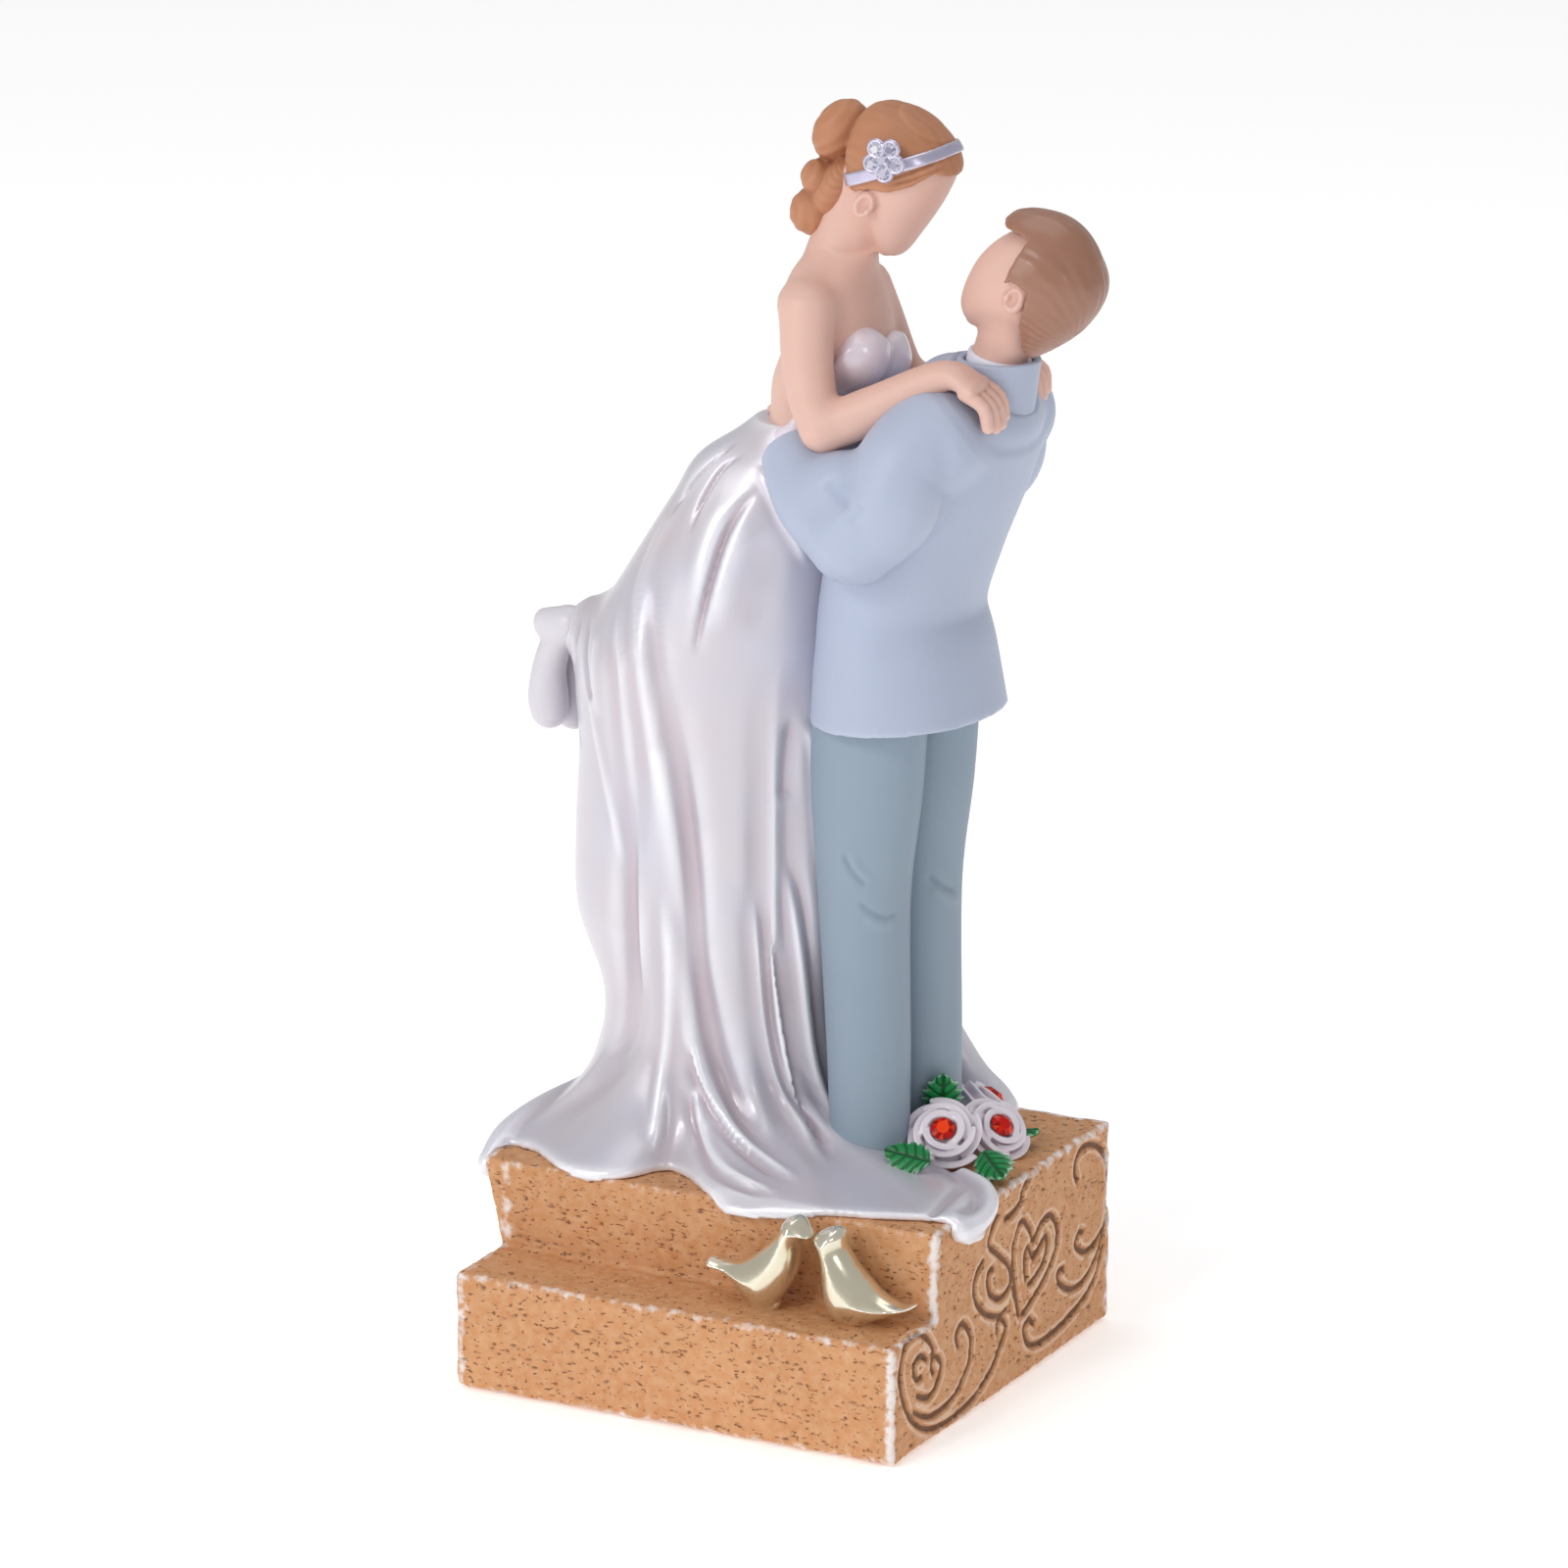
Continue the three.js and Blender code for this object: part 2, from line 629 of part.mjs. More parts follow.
// Bride: arms round his neck, with the near hand on his shoulder
const armTop = from(brideShoulders, -1, -brideShoulderHalfWidth - 0.2, -1.2);
const brideElbow = from(brideShoulders, 3.4, -brideShoulderHalfWidth - 2.6, -16.8);
const brideWrist = from(shoulders, -0.2, -shoulderHalfWidth + 4, 5.4);
const knuckles = from(shoulders, 4, -shoulderHalfWidth + 4.6, 4.4);
const fingertips = from(shoulders, 6.8, -shoulderHalfWidth + 5, -0.4);
function brideUpperArm(turn, tuck) {
  const top = from(armTop, -0.4 * tuck, tuck, -0.16 * tuck);
  return shape(
    limb(
      [
        [turn(top), brideArmHalf + 0.2, brideArmHalf + 0.3],
        [turn(top.clone().lerp(brideElbow, 0.5)), brideArmHalf - 0.2, brideArmHalf],
        [turn(brideElbow), brideArmHalf - 0.3, brideArmHalf - 0.1],
      ],
      { sides: 12, rings: 4 },
    ),
  );
}
function brideForearm(turn) {
  const fingers = fingerPlaces.map((place) => {
    const spread = place * 2 * fingerHalf;
    const length = 1 - Math.abs(place) * 0.1;
    const root = from(knuckles, -0.6, spread, -0.2);
    const bend = from(knuckles.clone().lerp(fingertips, 0.55 * length), 0.5, spread, 0.6);
    const tip = from(knuckles.clone().lerp(fingertips, length), 0, spread, 0);
    return limb(
      [
        [turn(root), fingerHalf, fingerHalf],
        [turn(bend), fingerHalf, fingerHalf],
        [turn(tip), fingerHalf * 0.9, fingerHalf * 0.9],
      ],
      { sides: 5, rings: 2 },
    );
  });
  const forearm = limb(
    [
      [turn(brideElbow), brideArmHalf - 0.3, brideArmHalf - 0.1],
      [turn(brideElbow.clone().lerp(brideWrist, 0.45)), brideArmHalf - 0.5, brideArmHalf - 0.3],
      [turn(brideWrist), brideWristHalf + 0.2, brideWristHalf - 0.2],
      [turn(knuckles), brideWristHalf + 1.1, fingerHalf + 0.3],
    ],
    { sides: 10, rings: 6 },
  );
  return shape(forearm, ...fingers);
}

// Gown: a bodice round the torso, high at the front and low at the back
const bust = (y) => ball(rib(0.53, 0.95).add(point(bustHalf * 1.05, y, 0)), bustHalf, bustHalf, bustHalf, 10);
const bodiceReach = 100; // past the bodice on every side
const bodiceEdge = outlineOf([
  [waist.x - bodiceReach, waist.z - pegDepth],
  [waist.x + bodiceReach, waist.z - pegDepth],
  [waist.x + bodiceReach, waist.z + brideTorsoLength * 0.78],
  [waist.x + brideLean + bustHalf, waist.z + brideTorsoLength * 0.74],
  [waist.x, waist.z + brideTorsoLength * 0.1],
  [waist.x - bodiceReach, waist.z - brideTorsoLength * 0.06],
]);
const bodice = kept(
  shape(thicker(brideTorsoForm, bodiceThickness + clearance), bust(0.78 * bustHalf), bust(-bustHalf)),
  shape(slabAlongY(bodiceEdge, bodiceReach)),
);

// Gown: skirt, from a hem spread over the plinth to a folded column, hips and the waist

// Hem by heading, in degrees from +X towards +Y: [heading, reach from the skirt's axis, height of the flare]
const hemOutline = smoothTable([
  [-180, 21, 24],
  [-160, 23, 24],
  [-142, 28.5, 25],
  [-125, 33.5, 25],
  [-105, 28.5, 24],
  [-93, 26.5, 22],
  [-82, 21.5, 20],
  [-66, 28.3, 19],
  [-50, 34, 17],
  [-38, 42, 15],
  [-28, 49, 14],
  [-17, 46, 14],
  [-8, 37, 15],
  [4, 25, 16],
  [15, 27, 18],
  [30, 36, 20],
  [45, 31, 22],
  [70, 23, 24],
  [110, 22, 24],
  [140, 26, 24],
  [160, 23, 24],
  [180, 21, 24],
]);
// Sections by height as a share of the waist's height: [height, share of the way from the skirt's
// axis to the waist, share of the half depth, share of the half width]
const skirtSection = smoothTable([
  [0, 0, 1, 1],
  [0.2, 0.05, 0.86, 0.92],
  [0.4, 0, 1, 1],
  [0.68, 0, 1, 1],
  [0.76, 0.17, 0.87, 0.95],
  [0.82, 0.3, 0.78, 0.88],
  [0.89, 0.46, 0.66, 0.76],
  [0.945, 0.56, 0.54, 0.6],
  [0.98, 0.75, 0.39, 0.46],
  [1, 0.88, 0.34, 0.4],
]);
// Main creases between the folds: the heading at the hem, at the knees and at the hips
const creases = [
  [-140, -104, -112],
  [-44, -77, -92],
  [-28, -44, -42],
  [-13, -31, -26],
  [22, 40, 40],
  [52, 68, 66],
  [92, 98, 96],
  [128, 132, 130],
  [170, 165, 160],
].map(([atHem, atKnees, atHips]) =>
  smoothTable([
    [0, atHem],
    [0.15, (atHem + 2 * atKnees) / 3],
    [0.45, atKnees],
    [1, atHips],
  ]),
);
const skirtHeights = [0, 0.012, 0.03, 0.06, 0.1, 0.16, 0.25, 0.4, 0.55, 0.68, 0.76, 0.84, 0.91, 0.96, 1];
const skirtSides = 48;
function skirtForm(grow = 0) {
  const rings = skirtHeights.map((share) => {
    const [shift, depthShare, widthShare] = skirtSection(share);
    const depth = skirtHalfDepth * depthShare;
    const width = skirtHalfWidth * widthShare;
    const axisX = skirtX + shift * (waist.x - skirtX);
    const z = share * waist.z;
    const deep = creaseDepth * Math.min(1, 5 * (1 - share));
    const bottoms = creases.map((crease) => crease(share)[0]);
    return Array.from({ length: skirtSides }, (_, i) => {
      const heading = (i / skirtSides) * 360 - 180;
      const turn = radians(heading);
      const oval = (depth * width) / Math.hypot(width * Math.cos(turn), depth * Math.sin(turn));
      const nearest = Math.min(...bottoms.map((bottom) => Math.abs(heading - bottom)));
      const crease = deep * Math.exp(-((nearest / creaseWidth) ** 2));
      const [hemReach, flareHeight] = hemOutline(heading);
      const spread = THREE.MathUtils.clamp(1 - (z - hemThickness) / flareHeight, 0, 1) ** 5;
      const reach = oval * (1 - spread) + hemReach * spread - crease + grow;
      return point(axisX + reach * Math.cos(turn), reach * Math.sin(turn), z);
    });
  });
  rings[0].forEach((p) => p.setZ(p.z - grow));
  rings.at(-1).forEach((p) => p.setZ(p.z + grow));
  const middle = (ring) => ring.reduce((sum, p) => sum.add(p), point(0, 0, 0)).divideScalar(ring.length);
  return skin(rings, middle(rings[0]), middle(rings.at(-1)));
}
const ankles = point(skirtX - ankleReach, 0, ankleHeight);
const shinDrape = limb(
  [
    [from(ankles, 12, 0, -1.5), 8, 7],
    [from(ankles, 5, 0, -0.5), 6.5, 5],
    [from(ankles, -1, 0, 0), 5, 3.6],
  ],
  { sides: 12, rings: 4 },
);
const skirt = shape(skirtForm, shinDrape);

// Bride: high-heeled shoes on the raised feet, soles to the back
function shoe(turn, trail) {
  const heel = turn(from(ankles, -4.6 + 0.8 * trail, -0.9 * shoeHalf, 0.6 - trail));
  const foot = limb(
    [
      [from(heel, 3, 0, 0), shoeHalf * 0.77, shoeHalf * 0.77],
      [from(heel, 0.9, 0, -0.22 * shoeLength), shoeHalf * 0.77, shoeHalf * 0.77],
      [from(heel, -0.2, 0, -0.47 * shoeLength), shoeHalf * 0.85, shoeHalf * 0.85],
      [from(heel, -0.5, 0, -0.7 * shoeLength), shoeHalf * 0.95, shoeHalf],
      [from(heel, -0.3, 0, -0.82 * shoeLength), shoeHalf * 0.9, shoeHalf * 0.95],
    ],
    { sides: 10, rings: 6 },
  );
  const heelPost = limb(
    [
      [from(heel, 3, 0, -0.6), shoeHalf * 0.8, shoeHalf * 0.85],
      [from(heel, -0.8, 0, -0.8), shoeHalf * 0.7, shoeHalf * 0.75],
    ],
    { sides: 10, rings: 2 },
  );
  return shape(foot, heelPost);
}

// Dowels
const dowelAt = (x, y) => rod(point(x, y, -dowelDepth), dowelDepth + dowelRise, dowelRadius);
const leftLegDowel = dowelAt(groomX - 0.6, -hipSpacing / 2);
const rightLegDowel = dowelAt(groomX - 0.6 + strideBack, hipSpacing / 2);
const gownDowel = dowelAt(skirtX, 0);

// Birds, beak to beak on the tread
function bird(side, tailRise) {
  const tread = point(birdsX, -plinthDepth / 2 + treadDepth * 0.55, stepHeight);
  const at = (back, rise) => from(tread, side * back * birdLength, 0, rise);
  const body = limb(
    [
      [at(1.07, tailRise), 1.2, 0.55],
      [at(0.88, 0.5 * (tailRise + birdHalf) + 0.2), 1.5, 1],
      [at(0.66, birdHalf + 0.6), birdHalf * 0.7, birdHalf * 0.66],
      [at(0.43, birdHalf + 1), birdHalf * 0.9, birdHalf],
      [at(0.28, birdHalf + 4), birdHalf * 0.58, birdHalf * 0.62],
      [at(0.21, birdHalf + 6.1), birdHalf * 0.46, birdHalf * 0.48],
    ],
    { sides: 12, rings: 8 },
  );
  const head = ball(at(0.2, birdHalf + 6.8), birdHalf * 0.5, birdHalf * 0.48, birdHalf * 0.5, 10);
  const beak = limb(
    [
      [at(0.12, birdHalf + 6.9), 0.8, 0.8],
      [at(0.03, birdHalf + 6.7), 0.3, 0.3],
    ],
    { sides: 6, rings: 1 },
  );
  const foot = rod(at(0.45, 0), birdHalf, birdHalf * 0.7);
  return shape(body, head, beak, foot);
}

// Roses by the groom's feet, each with a stone at its heart: where it stands and the way it leans
const rosePlaces = [
  { at: point(groomX + 8, -2.6, 0), lean: point(0.35, -0.75, 0.75) },
  { at: point(groomX + 13.2, 4.2, 0), lean: point(0.75, -0.35, 0.75) },
  { at: point(groomX + 9, 12, 0), lean: point(0.5, 0.5, 0.9) },
];
function roseFrame({ at, lean }) {
  const turn = new THREE.Quaternion().setFromUnitVectors(zAxis, lean.clone().normalize());
  const middle = from(at, 0, 0, clearance + 0.6 * roseHeight);
  return new THREE.Matrix4().compose(middle, turn, point(1, 1, 1));
}
// Rings of petals from the calyx to the heart: [share of the half, share of the height, petal depth]
const petalRings = [
  [0.35, -0.5, 0],
  [0.85, -0.3, 0.1],
  [1.0, 0.05, 0.14],
  [0.92, 0.3, 0.1],
  [0.74, 0.32, 0.06],
  [0.7, 0.46, 0.06],
  [0.5, 0.5, 0],
];
const roseSides = 20;
function roseForm(grow = 0) {
  const rings = petalRings.map(([reach, rise, petal], layer) =>
    Array.from({ length: roseSides }, (_, i) => {
      const turn = (i / roseSides) * 2 * Math.PI;
      const wave = 1 + petal * Math.cos(rosePetals * turn + layer * 0.9);
      const r = roseHalf * reach * wave + grow;
      return point(r * Math.cos(turn), r * Math.sin(turn), rise * roseHeight);
    }),
  );
  return skin(rings, point(0, 0, -0.5 * roseHeight - grow), point(0, 0, 0.5 * roseHeight + grow));
}
const gemSeat = new THREE.Matrix4().makeTranslation(0, 0, 0.5 * roseHeight + 0.2);
const gems = rosePlaces.map((place) => shape(placed(placed(brilliant(gemHalf), gemSeat), roseFrame(place))));
const roses = rosePlaces.map((place) => shape(placed(roseForm, roseFrame(place))));

// Leaves round the roses: where the stalk sits, the heading and how far the tip is raised, in degrees
const leafPlaces = [
  { at: point(groomX + 9.2, -11, 3.2), heading: 178, raise: 8 },
  { at: point(groomX + 13.2, -2.4, 3), heading: -40, raise: -13 },
  { at: point(groomX + 9.2, 8, 1.3), heading: 20, raise: 6 },
  { at: point(groomX + 7, 1.2, 5.6), heading: 130, raise: 66 },
  { at: point(groomX + 6.2, 16.5, 2), heading: 120, raise: 6 },
];
function leafForm(grow = 0) {
  const length = leafLength + grow;
  const half = 1.3 * leafHalfWidth + grow;
  const outline = new THREE.Shape();
  outline.moveTo(-grow, 0);
  outline.bezierCurveTo(0.2 * length, half, 0.65 * length, half, length, 0);
  outline.bezierCurveTo(0.65 * length, -half, 0.2 * length, -half, -grow, 0);
  const depth = leafThickness + 2 * grow;
  return new THREE.ExtrudeGeometry(outline, { depth, bevelEnabled: false, curveSegments: 6 }).translate(
    0,
    0,
    -depth / 2,
  );
}
const leaves = leafPlaces.map(({ at, heading, raise }) => {
  const lift = new THREE.Matrix4().makeRotationY(-radians(raise));
  const head = new THREE.Matrix4().makeRotationZ(radians(heading));
  const place = new THREE.Matrix4().makeTranslation(at.x, at.y, at.z);
  return shape(placed(leafForm, place.multiply(head).multiply(lift)));
});

// Paints
const paint = (color, roughness, metalness = 0) =>
  new THREE.MeshStandardMaterial({ color, roughness, metalness });
const stonePaint = paint(0xc68a5a, 0.75);
const felt = paint(0x3b4a3f, 0.95);
const steel = paint(0x9a9da0, 0.4, 1);
const skinPaint = paint(0xe3b8a4, 0.5);
const brideHairPaint = paint(0xc58a68, 0.5);
const groomHairPaint = paint(0xa47661, 0.45);
const jacketBlue = paint(0xb0bbd0, 0.55);
const trouserGrey = paint(0x8a9bab, 0.6);
const shirtWhite = paint(0xe6e9f4, 0.5);
const gownPearl = paint(0xe0dbe6, 0.3);
const shoePearl = paint(0xd0ccd0, 0.35);
const silver = paint(0xc9c6d8, 0.3, 0.9);
const crystal = paint(0xf2f2f8, 0.05);
const goldPaint = paint(0xcabf86, 0.3, 0.9);
const rosePearl = paint(0xddd3da, 0.4);
const ruby = paint(0xd01608, 0.1);
const leafGreen = paint(0x0f8a44, 0.4);

// Assembly: pieces from the innermost out. Each gives way to the ones above it in the list.
const plinthPieces = [
  ["felt_pad", shape(feltPad), felt],
  ["groom_left_leg_dowel", shape(placed(leftLegDowel, onStand)), steel],
  ["groom_right_leg_dowel", shape(placed(rightLegDowel, onStand)), steel],
  ["gown_dowel", shape(placed(gownDowel, onStand)), steel],
  ["plinth", shape(plinthBlock, flareWedge), stonePaint],
  ["left_bird", bird(-1, leftTailRise), goldPaint],
  ["right_bird", bird(1, rightTailRise), goldPaint],
];
const couplePieces = [
  ["groom_left_trouser_leg", leftLeg, trouserGrey],
  ["groom_right_trouser_leg", rightLeg, trouserGrey],
  ["groom_head", groomHead, skinPaint],
  ["groom_shirt_collar", shirtCollar, shirtWhite],
  ["groom_jacket", jacket, jacketBlue],
  ["groom_jacket_collar", jacketCollar, jacketBlue],
  ["groom_hair", groomHair, groomHairPaint],
  ["groom_left_upper_sleeve", upperSleeve(nearSide), jacketBlue],
  ["groom_right_upper_sleeve", upperSleeve(farSide), jacketBlue],
  ["groom_left_fore_sleeve", foreSleeve(nearSide), jacketBlue],
  ["groom_right_fore_sleeve", foreSleeve(farSide), jacketBlue],
  ["bride_head", brideHead, skinPaint],
  ["bride_torso", brideTorso, skinPaint],
  ["bride_right_upper_arm", brideUpperArm(nearSide, 0), skinPaint],
  ["bride_left_upper_arm", brideUpperArm(farSide, farShoulderTuck), skinPaint],
  ["bride_right_forearm", brideForearm(nearSide), skinPaint],
  ["bride_left_forearm", brideForearm(farSide), skinPaint],
  ["gown_bodice", bodice, gownPearl],
  ["bride_hair", brideHair, brideHairPaint],
  ["bride_upper_bun", bunUpper, brideHairPaint],
  ["bride_lower_bun", bunLower, brideHairPaint],
  ["headband", headband, silver],
  ...crystals.map((made, i) => [`flower_crystal_${i + 1}`, made, crystal]),
  ["headband_flower", flower, silver],
  ["groom_left_hand", groomHand(nearSide, leftHandDrop), skinPaint],
  ["groom_right_hand", groomHand(farSide, rightHandDrop), skinPaint],
  ["gown_skirt", skirt, gownPearl],
  ["bride_right_shoe", shoe(nearSide, 0), shoePearl],
  ["bride_left_shoe", shoe(farSide, shoeTrail), shoePearl],
  ...gems.map((made, i) => [`rose_gem_${i + 1}`, made, ruby]),
  ...roses.map((made, i) => [`rose_${i + 1}`, made, rosePearl]),
  ...leaves.map((made, i) => [`leaf_${i + 1}`, made, leafGreen]),
];

function meet(a, b) {
  const boxes = [a, b].map((made) => made.boundingBox());
  return [0, 1, 2].every((k) => boxes[0].min[k] < boxes[1].max[k] && boxes[1].min[k] < boxes[0].max[k]);
}

function geometryOf(made) {
  const { vertProperties, triVerts } = made.getMesh();
  const geometry = new THREE.BufferGeometry();
  geometry.setAttribute("position", new THREE.BufferAttribute(new Float32Array(vertProperties), 3));
  geometry.setIndex(new THREE.BufferAttribute(new Uint32Array(triVerts), 1));
  geometry.computeVertexNormals();
  return geometry;
}

// Chips that a cut leaves loose are dropped.
function largest(made) {
  return made.decompose().reduce((best, next) => (next.volume() > best.volume() ? next : best));
}

function assemble(group, pieces, given) {
  const before = [...given];
  pieces.forEach(([name, claim, material]) => {
    const start = claim();
    const cutters = before.filter((other) => meet(start, other));
    const made = largest(cutters.reduce((left, other) => left.subtract(other), start));
    const mesh = new THREE.Mesh(geometryOf(made), material);
    mesh.name = name;
    group.add(mesh);
    before.push(claim(clearance));
  });
}

const couple = new THREE.Group();
couple.position.copy(stand);
const belowStand = new THREE.Matrix4().copy(onStand).invert();
const ground = shape(placed(plinthBlock, belowStand), placed(flareWedge, belowStand));
const dowels = shape(leftLegDowel, rightLegDowel, gownDowel);
assemble(couple, couplePieces, [ground(clearance), dowels(clearance)]);

const topper = new THREE.Group();
assemble(topper, plinthPieces, []);
topper.add(couple);

export default topper;
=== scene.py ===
import math

import bpy
import numpy as np
import openvdb as vdb
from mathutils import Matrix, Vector
from mathutils.bvhtree import BVHTree
from mathutils.kdtree import KDTree


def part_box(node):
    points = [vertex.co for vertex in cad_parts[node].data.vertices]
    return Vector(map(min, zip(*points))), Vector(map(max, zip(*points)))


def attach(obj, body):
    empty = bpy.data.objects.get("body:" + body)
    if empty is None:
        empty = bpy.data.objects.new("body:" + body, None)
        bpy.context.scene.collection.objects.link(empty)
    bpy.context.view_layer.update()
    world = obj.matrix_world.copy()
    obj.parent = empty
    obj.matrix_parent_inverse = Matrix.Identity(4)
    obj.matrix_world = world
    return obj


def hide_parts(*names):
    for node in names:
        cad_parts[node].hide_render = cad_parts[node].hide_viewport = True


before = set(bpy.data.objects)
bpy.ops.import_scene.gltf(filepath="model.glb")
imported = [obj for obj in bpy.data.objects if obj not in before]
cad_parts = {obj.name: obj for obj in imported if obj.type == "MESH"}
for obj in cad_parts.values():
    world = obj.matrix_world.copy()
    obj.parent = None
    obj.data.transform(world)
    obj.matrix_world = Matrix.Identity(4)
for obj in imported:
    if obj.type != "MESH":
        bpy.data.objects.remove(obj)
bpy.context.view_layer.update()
scene = bpy.context.scene
metre = 0.001  # every length below is in millimetres
print("frame loaded")

# camera, at the photograph's angle
photo = {
    "pixels": 1600,
    "place": (445.2, -853.9, 354.73),
    "aim": (1.085, -2.612, 75.319),
    "lens": 187.17,
    "sensor": 36.0,
    "farthest": 20,  # metres
}
cameraData = bpy.data.cameras.new("photoCamera")
cameraData.lens = photo["lens"]
cameraData.sensor_width = photo["sensor"]
cameraData.clip_end = photo["farthest"]
camera = bpy.data.objects.new("photoCamera", cameraData)
scene.collection.objects.link(camera)
eye = np.array(photo["place"])
lookAt = np.array(photo["aim"]) - eye
camera.location = eye * metre
camera.rotation_euler = Vector(lookAt).to_track_quat("-Z", "Y").to_euler()
scene.camera = camera


def unit(rows):
    rows = np.asarray(rows, float)
    return rows / np.maximum(np.linalg.norm(rows, axis=-1, keepdims=True), 1e-9)


def photoRay(pixel):  # the way from the camera through a pixel of the photograph
    forward = unit(lookAt)
    right = unit(np.cross(forward, (0, 0, 1)))
    up = np.cross(right, forward)
    step = photo["sensor"] / photo["lens"] / photo["pixels"]
    x, y = (np.array(pixel) - photo["pixels"] / 2) * step
    return unit(forward + right * x - up * y)


# curves and skins

def throughPoints(points, count):  # a smooth line through a few points, any number of columns
    points = np.asarray(points, float)
    place = np.linspace(0, len(points) - 1, count)
    i = np.clip(place.astype(int), 0, len(points) - 2)
    f = (place - i)[:, None]
    padded = np.vstack([2 * points[0] - points[1], points, 2 * points[-1] - points[-2]])
    a, b, c, d = (padded[i + k] for k in range(4))
    return 0.5 * (2 * b + (c - a) * f + (2 * a - 5 * b + 4 * c - d) * f**2 + (3 * b - a - 3 * c + d) * f**3)


def throughRows(rows, keys):  # smooth values between a table's rows, by the first column
    rows = np.asarray(rows, float)
    known, values = rows[:, 0], rows[:, 1:]
    slopes = np.gradient(values, known, axis=0)
    keys = np.asarray(keys, float)
    i = np.clip(np.searchsorted(known, keys) - 1, 0, len(known) - 2)
    gap = (known[i + 1] - known[i])[..., None]
    f = (keys - known[i])[..., None] / gap
    rise = values[i + 1] - values[i]
    bend = slopes[i] * gap
    return values[i] + bend * f + (3 * rise - 2 * bend - slopes[i + 1] * gap) * f**2 \
        + (bend + slopes[i + 1] * gap - 2 * rise) * f**3


def skinOf(rings):  # a closed skin over rings of points, as points, quads and end triangles
    count, sides = rings.shape[:2]
    at = np.arange(count * sides).reshape(count, sides)
    turned = np.roll(at, -1, axis=1)
    quads = np.stack([at[:-1], turned[:-1], turned[1:], at[1:]], -1).reshape(-1, 4)
    foot, head = count * sides, count * sides + 1
    ends = [np.stack([np.full(sides, foot), turned[0], at[0]], -1)]
    ends.append(np.stack([np.full(sides, head), at[-1], turned[-1]], -1))
    points = np.vstack([rings.reshape(-1, 3), rings[0].mean(0), rings[-1].mean(0)])
    return points, quads, np.vstack(ends)


def tube(stations, side=(0, 1, 0), axis=None, domes=(0.8, 0.8), sides=40, steps=40):
    # stations hold x, y, z, half along side and half across; domes are the round ends
    rows = throughPoints(stations, steps)
    middle, halves = rows[:, :3], np.maximum(rows[:, 3:], 0.05)
    ahead = np.gradient(middle, axis=0) if axis is None else np.tile(np.asarray(axis, float), (steps, 1))
    ahead = unit(ahead)
    turns = np.array([0.35, 0.7, 1.0, 1.25, 1.42])  # of a dome's rings, in radians
    for end, way, dome in ((0, -1, domes[0]), (-1, 1, domes[1])):
        if not dome:
            continue
        reach = way * dome * halves[end].min()
        caps = middle[end] + ahead[end] * (reach * np.sin(turns))[:, None]
        shrink = halves[end] * np.cos(turns)[:, None]
        straight = np.tile(ahead[end], (len(turns), 1))
        order = slice(None, None, way)
        parts = [(caps[order], middle), (shrink[order], halves), (straight, ahead)]
        middle, halves, ahead = (np.vstack(pair if end == 0 else pair[::-1]) for pair in parts)
    along = unit(np.asarray(side, float) - ahead * (ahead @ np.asarray(side, float))[:, None])
    across = np.cross(ahead, along)
    angle = np.linspace(0, 2 * np.pi, sides, endpoint=False)[None, :, None]
    ring = np.cos(angle) * (along * halves[:, :1])[:, None]
    ring = ring + np.sin(angle) * (across * halves[:, 1:])[:, None]
    return skinOf(middle[:, None] + ring)


# modelling clay: signed distances in a box of voxels, negative inside

band = 12  # voxels each side of a surface that hold a true distance
coarse = 1.0


def clayBox(low, high, voxel):
    voxel = voxel * coarse
    low = np.floor(np.asarray(low, float) / voxel).astype(int)
    high = np.ceil(np.asarray(high, float) / voxel).astype(int)
    lines = [np.arange(low[k], high[k] + 1) * voxel for k in range(3)]
    places = np.stack(np.meshgrid(*lines, indexing="ij"), -1).astype(np.float32)
    return {"voxel": voxel, "low": low, "places": places}


def clayFrom(box, skin):
    points, quads, ends = skin
    grid = vdb.FloatGrid.createLevelSetFromPolygons(
        points.astype(np.float32),
        triangles=ends.astype(np.uint32),
        quads=quads.astype(np.uint32),
        transform=vdb.createLinearTransform(voxelSize=box["voxel"]),
        halfWidth=float(band),
    )
    clay = np.empty(box["places"].shape[:3], np.float32)
    grid.copyToArray(clay, ijk=tuple(int(k) for k in box["low"]))
    return clay


def egg(places, middle, halves):  # an ellipsoid's clay
    away = (places - np.asarray(middle, np.float32)) / np.asarray(halves, np.float32)
    near = np.linalg.norm(away, axis=-1)
    steep = np.linalg.norm(away / np.asarray(halves, np.float32), axis=-1)
    return near * (near - 1) / np.maximum(steep, 1e-6)


def bar(box, line, halves):  # a round bar along a line of points, its half thickness given at both ends
    clay = np.full(box["places"].shape[:3], band * box["voxel"], np.float32)
    line = np.asarray(line, float)
    room = max(halves) + 3  # clay this far from the line still holds a distance
    first = np.floor((line.min(0) - room) / box["voxel"]).astype(int) - box["low"]
    last = np.ceil((line.max(0) + room) / box["voxel"]).astype(int) - box["low"] + 1
    cut = tuple(slice(max(a, 0), max(b, 0)) for a, b in zip(first, last))
    places = box["places"][cut]
    sizes = np.linspace(halves[0], halves[1], len(line))
    found = clay[cut]
    for start, end, r0, r1 in zip(line[:-1], line[1:], sizes[:-1], sizes[1:]):
        way = (end - start).astype(np.float32)
        share = np.clip((places - start.astype(np.float32)) @ way / float(way @ way), 0, 1)
        gap = np.linalg.norm(places - start.astype(np.float32) - share[..., None] * way, axis=-1)
        found = np.minimum(found, gap - (r0 + (r1 - r0) * share))
    clay[cut] = found
    return clay


